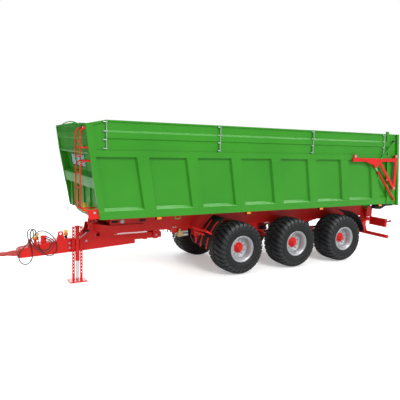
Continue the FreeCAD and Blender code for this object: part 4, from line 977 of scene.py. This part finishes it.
chock, holder = bmesh.new(), bmesh.new()
CHOCK_OUTLINE = [(0.425, 1.475), (0.425, 1.530), (0.400, 1.595), (0.365, 1.645),
                 (0.330, 1.672), (0.300, 1.672), (0.300, 1.475)]
CHOCK_RIBS = [(0.330, 1.660), (0.365, 1.633), (0.400, 1.583)]
add_prism(chock, [place(4.905, y, z) for y, z in CHOCK_OUTLINE], (0.062, 0, 0))
for y, top_z in CHOCK_RIBS:
    add_box(chock, place(4.900, y - 0.006, 1.480), place(4.972, y + 0.006, top_z))
add_box(holder, place(4.880, 0.290, 1.460), place(4.978, 0.435, 1.475))
make_piece("wheel_chock", chock, yellow_plastic, "tipping_body", bevel=0.006)
make_piece("chock_holder", holder, galvanised, "tipping_body", bevel=0.002)
print("front fittings made")

# %% [markdown]
# ## Along the body
# A galvanised rod with four pins locks the extension sides at each joint. Below the body's
# edge hang a tie hook on each side, and at the rear a rubber strip and a black lamp carrier.
# The tailgate's pins get washers, its arms a lug with a bolt, and its corners rubber stops.
# Round caps close the ends of the guard tube.

# %% Extension rods, hooks, carriers, washers and caps
JOINTS = (4.782, 2.280, -0.350, -2.860)
LOCK_PINS = (2.805, 2.970, 3.130, 3.300)
TAILGATE_PINS = ((-1.782, 2.730), (-3.345, 2.745), (-3.350, 1.880))
HOOK_X, HOOK_Y, HOOK_HEIGHT = 3.220, 1.178, 1.377
ROD_Y = 1.242
CARRIER = [(-2.840, 1.436), (-2.840, 1.305), (-3.045, 1.288), (-3.110, 1.302), (-3.350, 1.398),
           (-3.350, 1.436)]
rods, hooks, strips, washers, stops, end_caps, carriers, lugs = (bmesh.new() for _ in range(8))
for side in SIDES.values():
    for x in JOINTS:
        y = side * ROD_Y
        add_rod(rods, place(x, y, 2.785), place(x, y, 3.325), 0.010)
        for z in LOCK_PINS:
            add_rod(rods, place(x - 0.012, y, z), place(x + 0.052, y, z), 0.0075, sides=12)
            add_rod(rods, place(x + 0.046, y, z), place(x + 0.058, y, z), 0.013, sides=12)
            add_rod(rods, place(x, side * 1.20, z), place(x, y, z), 0.008, sides=12)
    y = side * HOOK_Y
    for dx in (-0.055, 0.055):
        add_rod(hooks, place(HOOK_X + dx, y, 1.372), place(HOOK_X + dx, y, EDGE_HEIGHT), 0.008)
    add_rod(hooks, place(HOOK_X - 0.058, y, HOOK_HEIGHT), place(HOOK_X + 0.058, y, HOOK_HEIGHT),
            0.008)
    y0, y1 = span_y(side, 1.136, 1.164)
    add_box(strips, place(-3.480, y0, 1.376), place(-3.060, y1, 1.428))
    for x, z in TAILGATE_PINS:
        add_rod(washers, place(x, side * 1.272, z), place(x, side * 1.280, z), 0.034, sides=28)
        add_rod(washers, place(x, side * 1.278, z), place(x, side * 1.2865, z), 0.020, sides=6)
    add_rod(stops, place(-3.262, side * 1.174, 3.135), place(-3.262, side * 1.270, 3.135), 0.032,
            sides=28)
    y0, y1 = span_y(side, 0.985, 1.120)
    add_prism(carriers, [place(x, y0, z) for x, z in CARRIER], (0, y1 - y0, 0))
    y0, y1 = span_y(side, 1.256, 1.270)
    add_box(lugs, place(-3.085, y0, 2.080), place(-3.020, y1, 2.150))
    add_bolt(washers, place(-3.045, side * 1.270, 2.115), (0, side, 0), 0.016, height=0.014)
    add_rod(end_caps, place(-3.300, side * 1.222, 0.515), place(-3.300, side * 1.236, 0.515),
            0.052, sides=36)
for name, shape, finish, body, slot, rounding in (
        ("extension_rods", rods, galvanised, "tipping_body", "silver_paint", 0.0),
        ("tie_hooks", hooks, green_enamel, "tipping_body", "green_paint", 0.0),
        ("edge_strips", strips, hose_rubber, "tipping_body", "black_rubber", 0.004),
        ("tailgate_washers", washers, galvanised, "tailgate", "silver_paint", 0.0),
        ("tailgate_stops", stops, hose_rubber, "tailgate", "black_rubber", 0.004),
        ("rear_lamp_carriers", carriers, black_plastic, "tipping_body", "black_plastic", 0.006),
        ("arm_lugs", lugs, red_enamel, "tailgate", "red_paint", 0.004),
        ("guard_end_caps", end_caps, red_enamel, "chassis", "red_paint", 0.006)):
    make_piece(name, shape, finish, body, bevel=rounding)
print("body fittings made")
